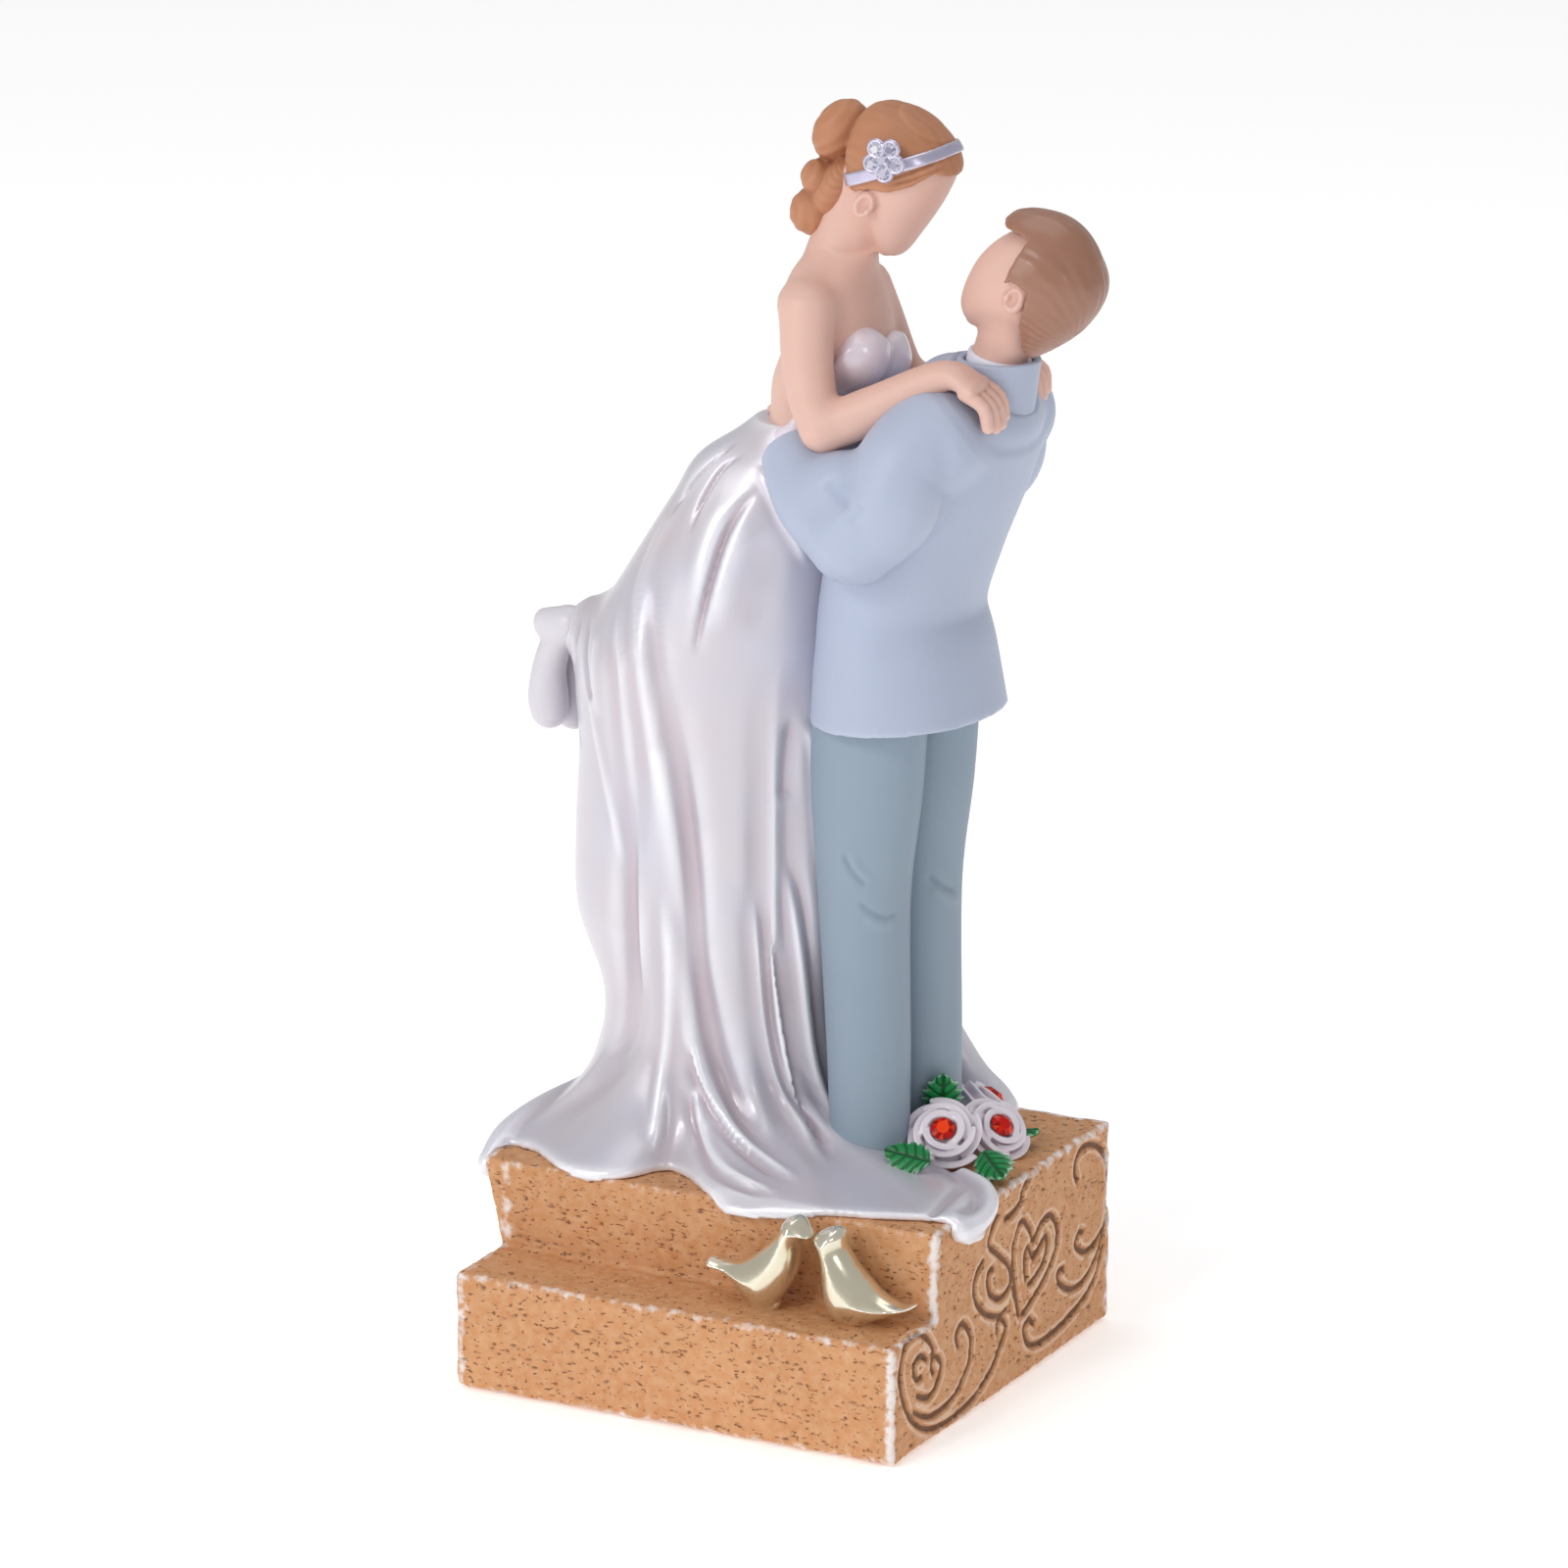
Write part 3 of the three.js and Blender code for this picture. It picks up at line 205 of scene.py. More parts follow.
def outlineClay(flat, outline):  # clay of a drawn outline pushed through, flat holds two coordinates
    outline = np.asarray(outline, np.float32)
    near = np.full(flat.shape[:-1], 1e9, np.float32)
    inside = np.zeros(flat.shape[:-1], bool)
    for start, end in zip(outline, np.roll(outline, -1, axis=0)):
        way = end - start
        gap = flat - start
        share = np.clip(gap @ way / float(way @ way), 0, 1)
        near = np.minimum(near, np.linalg.norm(gap - share[..., None] * way, axis=-1))
        rises = (flat[..., 1] >= start[1]) != (flat[..., 1] >= end[1])
        slope = way[0] / way[1] if way[1] else 0.0
        inside ^= rises & (flat[..., 0] < start[0] + (flat[..., 1] - start[1]) * slope)
    return np.where(inside, -near, near)


def blend(a, b, soft):  # two lumps pressed together with a soft joint
    share = np.clip(0.5 + 0.5 * (b - a) / soft, 0, 1)
    return b * (1 - share) + a * share - soft * share * (1 - share)


def keep(a, b, soft):
    return -blend(-a, -b, soft)


def cutBack(a, b, soft):
    return keep(a, -b, soft)


def edgesOf(faces):
    count = faces.shape[1]
    pairs = np.vstack([faces[:, [k, (k + 1) % count]] for k in range(count)])
    return np.unique(np.sort(pairs, axis=1), axis=0)


def eased(values, edges, passes, steady=True):  # evens out values over a mesh, steady keeps its size
    values = np.asarray(values, float)
    flat = values.reshape(len(values), -1)
    count = np.maximum(np.bincount(edges.ravel(), minlength=len(flat)), 1)[:, None]
    for _ in range(passes):
        for amount in (0.5, -0.52) if steady else (0.5,):  # shrinks, then swells back
            total = np.stack([
                np.bincount(edges[:, 0], column[edges[:, 1]], len(flat))
                + np.bincount(edges[:, 1], column[edges[:, 0]], len(flat))
                for column in flat.T
            ], -1)
            flat = flat + amount * (total / count - flat)
    return flat.reshape(values.shape)


def normalsOf(points, faces):
    across = points[faces[:, 2]] - points[faces[:, 0]]
    other = points[faces[:, -1]] - points[faces[:, 1]]
    facing = np.cross(across, other)
    total = np.zeros_like(points)
    for k in range(faces.shape[1]):
        for axis in range(3):
            total[:, axis] += np.bincount(faces[:, k], facing[:, axis], len(points))
    return unit(total)


def largestPart(points, faces):  # drops loose chips
    edges = edgesOf(faces)
    label = np.arange(len(points))
    while True:
        low = np.minimum(label[edges[:, 0]], label[edges[:, 1]])
        fresh = label.copy()
        np.minimum.at(fresh, edges[:, 0], low)
        np.minimum.at(fresh, edges[:, 1], low)
        fresh = fresh[fresh]
        if (fresh == label).all():
            break
        label = fresh
    names, sizes = np.unique(label, return_counts=True)
    chosen = label == names[sizes.argmax()]
    renumber = np.cumsum(chosen) - 1
    return points[chosen], renumber[faces[chosen[faces[:, 0]]]]


def surfaceOf(box, clay, passes=3):
    grid = vdb.FloatGrid(float(band * box["voxel"]))
    grid.copyFromArray(np.ascontiguousarray(clay, np.float32), ijk=tuple(int(k) for k in box["low"]))
    grid.transform = vdb.createLinearTransform(voxelSize=box["voxel"])
    points, quads = grid.convertToQuads(isovalue=0.0)
    points, quads = largestPart(points.astype(float), quads.astype(int))
    return eased(points, edgesOf(quads), passes), quads


def waves(points, length, seed):  # smooth random swell, about one wave to each length, from -1 to 1
    rng = np.random.default_rng(seed)
    count = 14
    ways = unit(rng.normal(size=(count, 3))) * (2 * np.pi / length) * rng.uniform(0.6, 1.4, (count, 1))
    return np.sin(points @ ways.T + rng.uniform(0, 2 * np.pi, count)).sum(1) / 4  # near the root of count


# sculpting: strokes along lines on a surface

lineSteps = 70  # places along a stroke


def traced(tree, pixels):  # a line drawn over the photograph, laid on the surface behind it
    rays = (Vector(photoRay(pixel)) for pixel in throughPoints(pixels, lineSteps))
    hits = (tree.ray_cast(Vector(eye), ray)[0] for ray in rays)
    return np.array([hit for hit in hits if hit is not None])


strokeShapes = {  # height over the distance from the line, in widths
    "groove": lambda s: -np.exp(-(s**2)),
    "ridge": lambda s: np.exp(-(s**2)),
    "pleat": lambda s: s * np.exp(0.5 - 0.5 * s**2),  # raised left of the line, sunk right of it
    "carved": lambda s: 0.22 * np.exp(-((np.abs(s) - 2) ** 2) * 1.6) - np.exp(-(s**2)),
}


def stroke(points, normals, line, width, depth, kind, fade=0.2):  # each end thins over the fade's share
    if len(line) < 3:  # drawn beside the piece
        return points
    reach = 4 * width
    near = np.flatnonzero(((points > line.min(0) - reach) & (points < line.max(0) + reach)).all(1))
    tangents = unit(np.gradient(line, axis=0))
    moved = points.copy()
    for part in np.array_split(near, max(1, len(near) // 4000)):  # in parts, to spare memory
        gaps = points[part][:, None] - line[None]
        closest = (gaps**2).sum(2).argmin(1)
        ahead = tangents[closest]
        gap = gaps[np.arange(len(part)), closest]
        gap = gap - (gap * ahead).sum(1, keepdims=True) * ahead
        sideways = unit(np.cross(normals[part], ahead))
        away = np.linalg.norm(gap, axis=1) * np.where((gap * sideways).sum(1) < 0, -1, 1)
        share = closest / (len(line) - 1)
        ends = np.clip(np.minimum(share, 1 - share) / fade, 0, 1)
        amount = depth * strokeShapes[kind](away / width) * (ends * ends * (3 - 2 * ends))
        moved[part] += normals[part] * amount[:, None]
    return moved


def sculpted(points, faces, strokes):  # strokes hold line, width, depth, kind, fade; pixels are traced
    tree = BVHTree.FromPolygons(points.tolist(), faces.tolist())
    normals = normalsOf(points, faces)
    for line, width, depth, kind, *fade in strokes:
        line = np.asarray(line, float)
        line = traced(tree, line) if line.shape[1] == 2 else throughPoints(line, lineSteps)
        points = stroke(points, normals, line, width, depth, kind, *fade)
    return points


def proudness(points, faces, passes):  # how far each point stands out from the surface around it, mm
    smooth = eased(points, edgesOf(faces), max(2, round(passes / coarse**2)), steady=False)
    return ((points - smooth) * normalsOf(points, faces)).sum(1)


def makePiece(name, points, faces, material, nodes, marks, keepShare=None, smooth=True):
    mesh = bpy.data.meshes.new(name)
    mesh.from_pydata((np.asarray(points) * metre).tolist(), [], [list(map(int, f)) for f in faces])
    mesh.update()
    if smooth:
        mesh.shade_smooth()
    for mark, values in marks.items():
        mesh.attributes.new(mark, "FLOAT", "POINT").data.foreach_set("value", np.asarray(values, np.float32))
    mesh.materials.append(material)
    piece = bpy.data.objects.new(name, mesh)
    scene.collection.objects.link(piece)
    if keepShare:
        thin = piece.modifiers.new("fewerFaces", "DECIMATE")
        thin.ratio = keepShare
    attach(piece, "root")
    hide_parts(*nodes)
    print(f"{name}: {len(mesh.polygons)} faces")


def paintedPiece(name, points, faces, material, slot, nodes, keepShare=0.5, around=14):
    # the painted shade and painted highlights follow how proud each point is of what lies around it
    marks = {"proud": proudness(points, faces, around)}
    makePiece(name, points, faces, material, nodes, marks, keepShare)


# finishes

def hexColour(code):  # sRGB hex to linear
    parts = [int(code[k:k + 2], 16) / 255 for k in (1, 3, 5)]
    return tuple(c / 12.92 if c <= 0.04045 else ((c + 0.055) / 1.055) ** 2.4 for c in parts) + (1.0,)


def perSize(size):  # texture scale that repeats once in so many millimetres
    return 1 / (size * metre)


def addNode(tree, kind, settings=None, links=None):
    node = tree.nodes.new(kind)
    for name, value in (settings or {}).items():
        if isinstance(name, int) or name in node.inputs:
            node.inputs[name].default_value = value
        else:
            setattr(node, name, value)
    for name, source in (links or {}).items():
        tree.links.new(source, node.inputs[name])
    return node


def newFinish(name, settings):
    material = bpy.data.materials.new(name)
    material.use_nodes = True
    tree = material.node_tree
    tree.nodes.clear()
    surface = addNode(tree, "ShaderNodeBsdfPrincipled", settings)
    addNode(tree, "ShaderNodeOutputMaterial", links={"Surface": surface.outputs[0]})
    where = addNode(tree, "ShaderNodeTexCoord").outputs["Object"]
    return material, tree, surface, where


# washDepth: how sunk or proud a point must be, in mm, to take the painted shade or the painted highlight in
# full
paintUsual = {"cloudSize": 5, "washDepth": 0.25, "wash": 0.7, "brush": 0.4, "peelSize": 0.5, "peel": 0.05,
              "gloss": (0.4, 0.5)}  # sizes and depth in mm


def washedPaint(name, settings, colours, **own):
    # brush paint on cast resin: an uneven coat, painted shade that darkens the hollows,
    # painted highlights that lighten what stands out, and a fine orange peel
    paint = {**paintUsual, **own}
    base, second, hollowShade, raisedHighlight = map(hexColour, colours)
    material, tree, surface, where = newFinish(name, settings)
    proud = addNode(tree, "ShaderNodeAttribute", {"attribute_name": "proud"}).outputs["Fac"]
    cloud = addNode(tree, "ShaderNodeTexNoise", {"Scale": perSize(paint["cloudSize"]), "Detail": 3.0},
                    {"Vector": where})
    coat = addNode(tree, "ShaderNodeMix", {"data_type": "RGBA", 6: base, 7: second},
                   {0: cloud.outputs["Fac"]})
    # painted shade laid into the hollows, then a painted highlight laid on what stands out
    for full, strength, colour in ((-paint["washDepth"], paint["wash"], hollowShade),
                                   (paint["washDepth"], paint["brush"], raisedHighlight)):
        paintedLightMask = addNode(tree, "ShaderNodeMapRange", {"From Min": 0.0, "From Max": full, "To Max": strength},
                       {"Value": proud})
        coat = addNode(tree, "ShaderNodeMix", {"data_type": "RGBA", 7: colour},
                       {0: paintedLightMask.outputs[0], 6: coat.outputs[2]})
    tree.links.new(coat.outputs[2], surface.inputs["Base Color"])
    peel = addNode(tree, "ShaderNodeTexNoise", {"Scale": perSize(paint["peelSize"]), "Detail": 4.0},
                   {"Vector": where})
    sheen = addNode(tree, "ShaderNodeMapRange", {"To Min": paint["gloss"][0], "To Max": paint["gloss"][1]},
                    {"Value": peel.outputs["Fac"]})
    tree.links.new(sheen.outputs[0], surface.inputs["Roughness"])
    bump = addNode(tree, "ShaderNodeBump", {"Strength": paint["peel"], "Distance": 0.05 * metre},
                   {"Height": peel.outputs["Fac"]})
    tree.links.new(bump.outputs[0], surface.inputs["Normal"])
    return material


# in each colour list: the paint, a second tone mixed in at random, painted shade for the hollows, and a
# painted highlight for what stands out
# satin acrylic, thinly brushed: soft broad lights, and skin that lets a little light in
skinAcrylic = washedPaint(
    "skinSatinAcrylic",
    {"IOR": 1.49, "Specular IOR Level": 0.45, "Subsurface Weight": 0.08,
     "Subsurface Radius": (0.8 * metre, 0.3 * metre, 0.2 * metre), "Subsurface Scale": 1.0},
    ("#E1BBAE", "#DCB3A4", "#B97B6E", "#EBCDC2"),
    cloudSize=6, wash=0.75, brush=0.35, peelSize=0.6, gloss=(0.42, 0.52))
jacketAcrylic = washedPaint(
    "jacketSatinAcrylic", {"IOR": 1.49, "Specular IOR Level": 0.45},
    ("#B2BBD0", "#ABB5CB", "#7F88A6", "#CDD4E4"), cloudSize=9, brush=0.45, peelSize=0.7, peel=0.06)
trouserAcrylic = washedPaint(
    "trouserSatinAcrylic", {"IOR": 1.49, "Specular IOR Level": 0.4},
    ("#91A1AF", "#8A9AAA", "#5F6C7C", "#A9B7C2"), cloudSize=9, peelSize=0.7, peel=0.06, gloss=(0.45, 0.55))
shirtAcrylic = washedPaint(
    "shirtWhiteAcrylic", {"IOR": 1.49, "Specular IOR Level": 0.45},
    ("#E9ECF8", "#E2E6F4", "#B4B8CE", "#F6F7FC"), cloudSize=4, washDepth=0.2, wash=0.6)
# hair acrylic: painted shade darkening between the strands, and one head varnished
gingerAcrylic = washedPaint(
    "gingerHairAcrylic", {"IOR": 1.49, "Specular IOR Level": 0.4},
    ("#BC8260", "#B27756", "#835035", "#D6A281"),
    cloudSize=3.5, washDepth=0.09, wash=0.8, brush=0.6, peel=0.06, gloss=(0.45, 0.55))
brownAcrylic = washedPaint(
    "brownHairAcrylic",
    {"IOR": 1.49, "Specular IOR Level": 0.5, "Coat Weight": 0.3, "Coat Roughness": 0.25},
    ("#9E715E", "#94664F", "#704530", "#B98C74"), washDepth=0.2, peelSize=0.6, gloss=(0.34, 0.44))


def pearl(mica, coat, coatRoughness):  # mica in clear lacquer: a little metal under a clear coat
    return {"IOR": 1.5, "Metallic": mica, "Coat Weight": coat, "Coat Roughness": coatRoughness,
            "Coat IOR": 1.5}


# sprayed pearl lacquer: cool lilac shades, painted shade in the fold hollows, and long painted highlights
# along the folds beside the real lights of its clear coat
pearlLacquer = washedPaint(
    "gownPearlLacquer", pearl(0.18, 0.6, 0.2), ("#C4C8DB", "#D0C2C3", "#C0B1B9", "#F6F6FC"),
    cloudSize=14, washDepth=0.35, wash=0.8, brush=0.85, peelSize=0.35, peel=0.08, gloss=(0.26, 0.4))
bodicePearl = washedPaint(
    "bodicePearlLacquer", pearl(0.1, 0.6, 0.1), ("#ECE4EE", "#E6DAE6", "#C4B1C4", "#F6F1F8"),
    cloudSize=8, washDepth=0.3, peelSize=0.35, peel=0.06, gloss=(0.25, 0.35))
shoeSatin = washedPaint(
    "shoePearlLacquer", pearl(0.05, 0.3, 0.25), ("#DAD6DD", "#D3CED6", "#A9A1AB", "#EEECF0"),
    gloss=(0.38, 0.48))
rosePearl = washedPaint(
    "rosePearlLacquer", pearl(0.08, 0.4, 0.2), ("#E6DDE6", "#DFD4DF", "#B5A4B2", "#FBF8FB"),
    cloudSize=3, washDepth=0.14, wash=0.85, brush=0.9, peelSize=0.35, peel=0.06, gloss=(0.3, 0.42))
# brushed enamel: painted shade deepening the green in the veins and under the leaf, pale painted highlights
# along the edges, small wet lights
leafEnamel = washedPaint(
    "leafGreenEnamel", {"IOR": 1.5, "Specular IOR Level": 0.35, "Coat Weight": 0.15, "Coat Roughness": 0.15},
    ("#0A7A3A", "#0E8B47", "#044A20", "#CFEBDA"),
    cloudSize=1.6, washDepth=0.14, wash=0.9, brush=0.75, peelSize=0.4, peel=0.08, gloss=(0.3, 0.42))
# metallic paint: mirror-like lights, brown or violet painted shade in the hollows, and pale painted
# highlights on what stands out
goldPaint = washedPaint(
    "birdGoldMetallicPaint", {"Metallic": 0.9, "Coat Weight": 0.4, "Coat Roughness": 0.1},
    ("#E8E1CB", "#DFD6B9", "#97884F", "#FEFCF0"),
    cloudSize=2.5, washDepth=0.15, wash=0.85, brush=0.6, peelSize=0.3, peel=0.08, gloss=(0.15, 0.26))
silverPaint = washedPaint(
    "bandSilverMetallicPaint", {"Metallic": 0.75}, ("#C8C3DA", "#BDB6D2", "#857D9C", "#F2F0FA"),
    cloudSize=1.5, washDepth=0.1, wash=0.8, brush=0.7, peelSize=0.3, peel=0.08, gloss=(0.25, 0.36))
# drawn steel, plain grey; pressed wool felt, dull and fuzzy
dowelSteel = washedPaint(
    "dowelDrawnSteel", {"Metallic": 1.0}, ("#9A9DA0", "#8C8F93", "#606366", "#B4B7BA"),
    cloudSize=1, washDepth=0.2, wash=0.3, brush=0.3, peelSize=0.2, peel=0.1, gloss=(0.3, 0.45))
woolFelt = washedPaint(
    "padWoolFelt", {"IOR": 1.5, "Specular IOR Level": 0.2, "Sheen Weight": 0.4, "Sheen Roughness": 0.6},
    ("#3B4A3F", "#465749", "#27322A", "#55675A"),
    cloudSize=0.8, washDepth=0.2, wash=0.4, brush=0.3, peelSize=0.25, peel=0.6, gloss=(0.85, 0.95))

stone = {
    "cloud": 11, "grain": 1.3, "grit": 0.35, "pitLength": 0.8, "pitHeight": 0.38,  # sizes in mm
    "tan": ("#BD8152", "#D69C6B"),
    "breakUp": 1.4,  # how far the grain breaks up the white brush
    "layers": [  # what the layer follows, where it starts and is full, its strength, its colour
        ("grain", 0.35, 0.7, 0.5, "#DCB28C"), ("pits", 0.615, 0.68, 0.8, "#6E3D20"),
        ("carved", 0.02, 0.08, 0.6, "#EBD0B8"), ("carved", -0.06, -0.3, 0.85, "#63402A"),
        ("brushed", 1.04, 1.46, 0.9, "#F0EAE8")],
    "gloss": (0.5, 0.75),
    "pitDepth": -1.2,
    "relief": 0.12,
}


def stoneResin():
    # cast polyresin with a sandstone face: tan paint, dark wash in the pits and the carving,
    # pale lips beside them, and a white brush dragged along the edges
    material, tree, surface, where = newFinish("plinthStoneFinishResin", {
        "IOR": 1.5, "Specular IOR Level": 0.35})
    edge = addNode(tree, "ShaderNodeAttribute", {"attribute_name": "edge"}).outputs["Fac"]
    carved = addNode(tree, "ShaderNodeAttribute", {"attribute_name": "carved"}).outputs["Fac"]
    cloud = addNode(tree, "ShaderNodeTexNoise", {"Scale": perSize(stone["cloud"]), "Detail": 5.0,
                                                 "Roughness": 0.6}, {"Vector": where}).outputs["Fac"]
    grain = addNode(tree, "ShaderNodeTexNoise", {"Scale": perSize(stone["grain"]), "Detail": 4.0},
                    {"Vector": where}).outputs["Fac"]
    grit = addNode(tree, "ShaderNodeTexNoise", {"Scale": perSize(stone["grit"]), "Detail": 5.0},
                   {"Vector": where}).outputs["Fac"]
    spacing = [perSize(stone[size]) for size in ("pitLength", "pitLength", "pitHeight")]
    stretch = addNode(tree, "ShaderNodeMapping", {"Scale": spacing}, {"Vector": where})
    pits = addNode(tree, "ShaderNodeTexNoise", {"Scale": 1.0, "Detail": 2.0}, {"Vector": stretch.outputs[0]})
    brushed = addNode(tree, "ShaderNodeMath", {"operation": "MULTIPLY_ADD", 1: stone["breakUp"]},
                      {0: grain, 2: edge})
    follows = {"grain": grain, "pits": pits.outputs["Fac"], "carved": carved, "brushed": brushed.outputs[0]}
    first, second = map(hexColour, stone["tan"])
    coat = addNode(tree, "ShaderNodeMix", {"data_type": "RGBA", 6: first, 7: second}, {0: cloud})
    masks = {}
    for name, start, full, strength, colour in stone["layers"]:
        masks[name] = addNode(tree, "ShaderNodeMapRange", {
            "From Min": start, "From Max": full, "To Max": strength}, {"Value": follows[name]}).outputs[0]
        coat = addNode(tree, "ShaderNodeMix", {"data_type": "RGBA", 7: hexColour(colour)},
                       {0: masks[name], 6: coat.outputs[2]})
    tree.links.new(coat.outputs[2], surface.inputs["Base Color"])
    dull = addNode(tree, "ShaderNodeMapRange", {"To Min": stone["gloss"][0], "To Max": stone["gloss"][1]},
                   {"Value": grit})
    tree.links.new(dull.outputs[0], surface.inputs["Roughness"])
    depth = addNode(tree, "ShaderNodeMath", {"operation": "MULTIPLY_ADD", 1: stone["pitDepth"]},
                    {0: masks["pits"], 2: grit})
    bump = addNode(tree, "ShaderNodeBump", {"Strength": 0.35, "Distance": stone["relief"] * metre},
                   {"Height": depth.outputs[0]})
    tree.links.new(bump.outputs[0], surface.inputs["Normal"])
    return material


def cutStone(name, deep, colour, paintedReflection, clear):
    # foil-backed rhinestone: polished facets, each coloured at random from dark to bright as a painted
    # reflection, the brightest with a painted glint
    material, tree, surface, _ = newFinish(name, {
        "IOR": 1.56, "Transmission Weight": clear, "Roughness": 0.1, "Specular IOR Level": 0.2})
    facet = addNode(tree, "ShaderNodeAttribute", {"attribute_name": "paintedReflection"}).outputs["Fac"]
    first = addNode(tree, "ShaderNodeMapRange", {"From Max": 0.6}, {"Value": facet})
    body = addNode(tree, "ShaderNodeMix", {"data_type": "RGBA", 6: hexColour(deep), 7: hexColour(colour)},
                   {0: first.outputs[0]})
    # the brightest facets take the painted glint colour
    second = addNode(tree, "ShaderNodeMapRange", {"From Min": 0.78, "From Max": 1.0}, {"Value": facet})
    paintedGlintMix = addNode(tree, "ShaderNodeMix", {"data_type": "RGBA", 7: hexColour(paintedReflection)},
                   {0: second.outputs[0], 6: body.outputs[2]})
    tree.links.new(paintedGlintMix.outputs[2], surface.inputs["Base Color"])
    return material


stoneFinish = stoneResin()
rubyStone = cutStone("roseRubyRhinestone", "#6E0402", "#C2120A", "#FF4A14", 0.0)
clearStone = cutStone("flowerClearRhinestone", "#8D88A6", "#D9D7E8", "#FFFFFF", 0.3)
print("finishes mixed")

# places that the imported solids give
plinthLow, plinthHigh = (np.array(corner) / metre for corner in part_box("plinth"))
dowelLow, dowelHigh = (np.array(corner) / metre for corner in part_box("gown_dowel"))
gownAxis = (dowelLow + dowelHigh)[:2] / 2
stand = np.array([0, gownAxis[1], plinthHigh[2]])  # middle of the couple on top of the plinth


def fromStand(rows):  # the couple's own places, moved onto the plinth
    rows = np.array(rows, float)
    rows[:, :3] += stand
    return rows


def boxRound(skins, voxel, room=2.5):
    points = np.vstack([skin[0] for skin in skins])
    return clayBox(points.min(0) - room, points.max(0) + room, voxel)


# plinth: a leaning upper block on a square slab, worn and carved
plinth = {
    "voxel": 0.3,
    "tread": 15.3,
    "riser": -18.6,  # y of the upper block's front face
    "flare": 2.9,
    "spare": ((-0.8, 0, 0), (0.2, 0.6, 0)),  # how far the cast faces stand past the plain solid
    "worn": 0.7,
    "bevel": (0.7, 1.0),  # how far the front left edge leans, and how deep its bevel goes
    "joint": 0.4,  # softness where the two blocks meet
    "rough": [(0.08, 9, 3), (0.05, 2.6, 5), (0.03, 1.2, 7)],  # height, length and seed of each swell
    "pits": (1040, 260),  # on the upright faces and the level ones
    "pitSizes": [(0.25, 0.8), (0.16, 0.3), (0.12, 0.36)],  # half length, half width, depth
    "pitTilt": 0.25,
    "carveFade": 0.04,
    "carveWidth": 0.42,
    "carveDepth": 0.45,
    "brushWidth": 0.95,
    "carving": [  # drawn over the photograph's right side, in its pixels
        [(948, 1388), (953, 1378), (946, 1365), (933, 1362), (923, 1378), (919, 1410), (926, 1441),
         (941, 1457), (962, 1454), (990, 1431), (1010, 1401), (1021, 1374), (1027, 1354), (1022, 1346),
         (1017, 1354), (1019, 1366)],
        [(929, 1440), (949, 1446), (973, 1426), (988, 1394), (991, 1366), (984, 1351), (977, 1360),
         (979, 1379)],
        [(934, 1424), (948, 1426), (958, 1408), (961, 1391), (955, 1384), (951, 1394), (954, 1404)],
        [(948, 1388), (940, 1384), (933, 1394), (936, 1408), (943, 1404)],
        [(1022, 1236), (1013, 1253), (1010, 1270), (1020, 1281), (1030, 1292), (1031, 1311), (1021, 1325),
         (1010, 1319), (1009, 1301), (1017, 1291)],
        [(1052, 1201), (1045, 1212), (1042, 1226), (1034, 1238), (1024, 1246)],
        [(1006, 1284), (996, 1303), (995, 1324), (1005, 1340), (1019, 1343), (1030, 1334)],
        [(1031, 1304), (1038, 1328), (1041, 1342), (1052, 1329), (1066, 1304), (1077, 1276), (1079, 1252),
         (1072, 1240), (1062, 1250), (1055, 1266), (1051, 1254), (1045, 1246), (1038, 1256), (1034, 1281),
         (1036, 1309), (1041, 1342)],
        [(1048, 1312), (1046, 1285), (1050, 1272), (1055, 1283), (1063, 1268), (1069, 1262), (1066, 1285),
         (1055, 1306), (1048, 1312)],
        [(1101, 1211), (1097, 1191), (1104, 1173), (1117, 1168), (1128, 1180), (1132, 1206), (1129, 1240),
         (1120, 1265), (1108, 1277), (1098, 1271), (1101, 1258), (1108, 1258)],
        [(1130, 1226), (1125, 1262), (1111, 1299), (1096, 1315), (1083, 1311), (1080, 1299), (1088, 1293)],
        [(1128, 1262), (1114, 1311), (1091, 1344), (1066, 1367), (1051, 1372), (1045, 1357), (1051, 1346),
         (1057, 1353)]],
}


def planeClay(places, point, facing):
    facing = unit(facing).astype(np.float32)
    return (places - np.asarray(point, np.float32)) @ facing


def blockClay(places, sides):  # a block between planes, its edges worn round
    clay = planeClay(places, *sides[0])
    for side in sides[1:]:
        clay = keep(clay, planeClay(places, *side), plinth["worn"])
    return clay


def plinthClay(places, grow=0.0):
    low, high = (corner + spare for corner, spare in zip((plinthLow, plinthHigh), plinth["spare"]))
    left = low[0] + plinth["flare"]
    riser, tread, top = plinth["riser"], plinth["tread"], high[2]
    edge = np.array((-plinth["bevel"][0], 0, top - tread))
    bevel = np.array((-plinth["flare"], plinth["bevel"][1], top - tread))
    back, right = ((0, high[1], 0), (0, 1, 0)), ((high[0], 0, 0), (1, 0, 0))
    foot = ((0, 0, low[2]), (0, 0, -1))
    upper = blockClay(places, [
        ((0, riser, 0), (0, -1, 0)), back, right, ((0, 0, top), (0, 0, 1)),
        ((left, 0, tread), (tread - top, 0, -plinth["flare"])), foot,
        ((left, riser, tread), np.cross(edge, bevel))])
    lower = blockClay(places, [
        ((0, low[1], 0), (0, -1, 0)), back, right, ((0, 0, tread), (0, 0, 1)),
        ((left, 0, 0), (-1, 0, 0)), foot])
    return blend(upper, lower, plinth["joint"]) - grow


def seated(clay, box, gap):  # cut off where the plinth begins
    return cutBack(clay, plinthClay(box["places"], gap), 0.05)


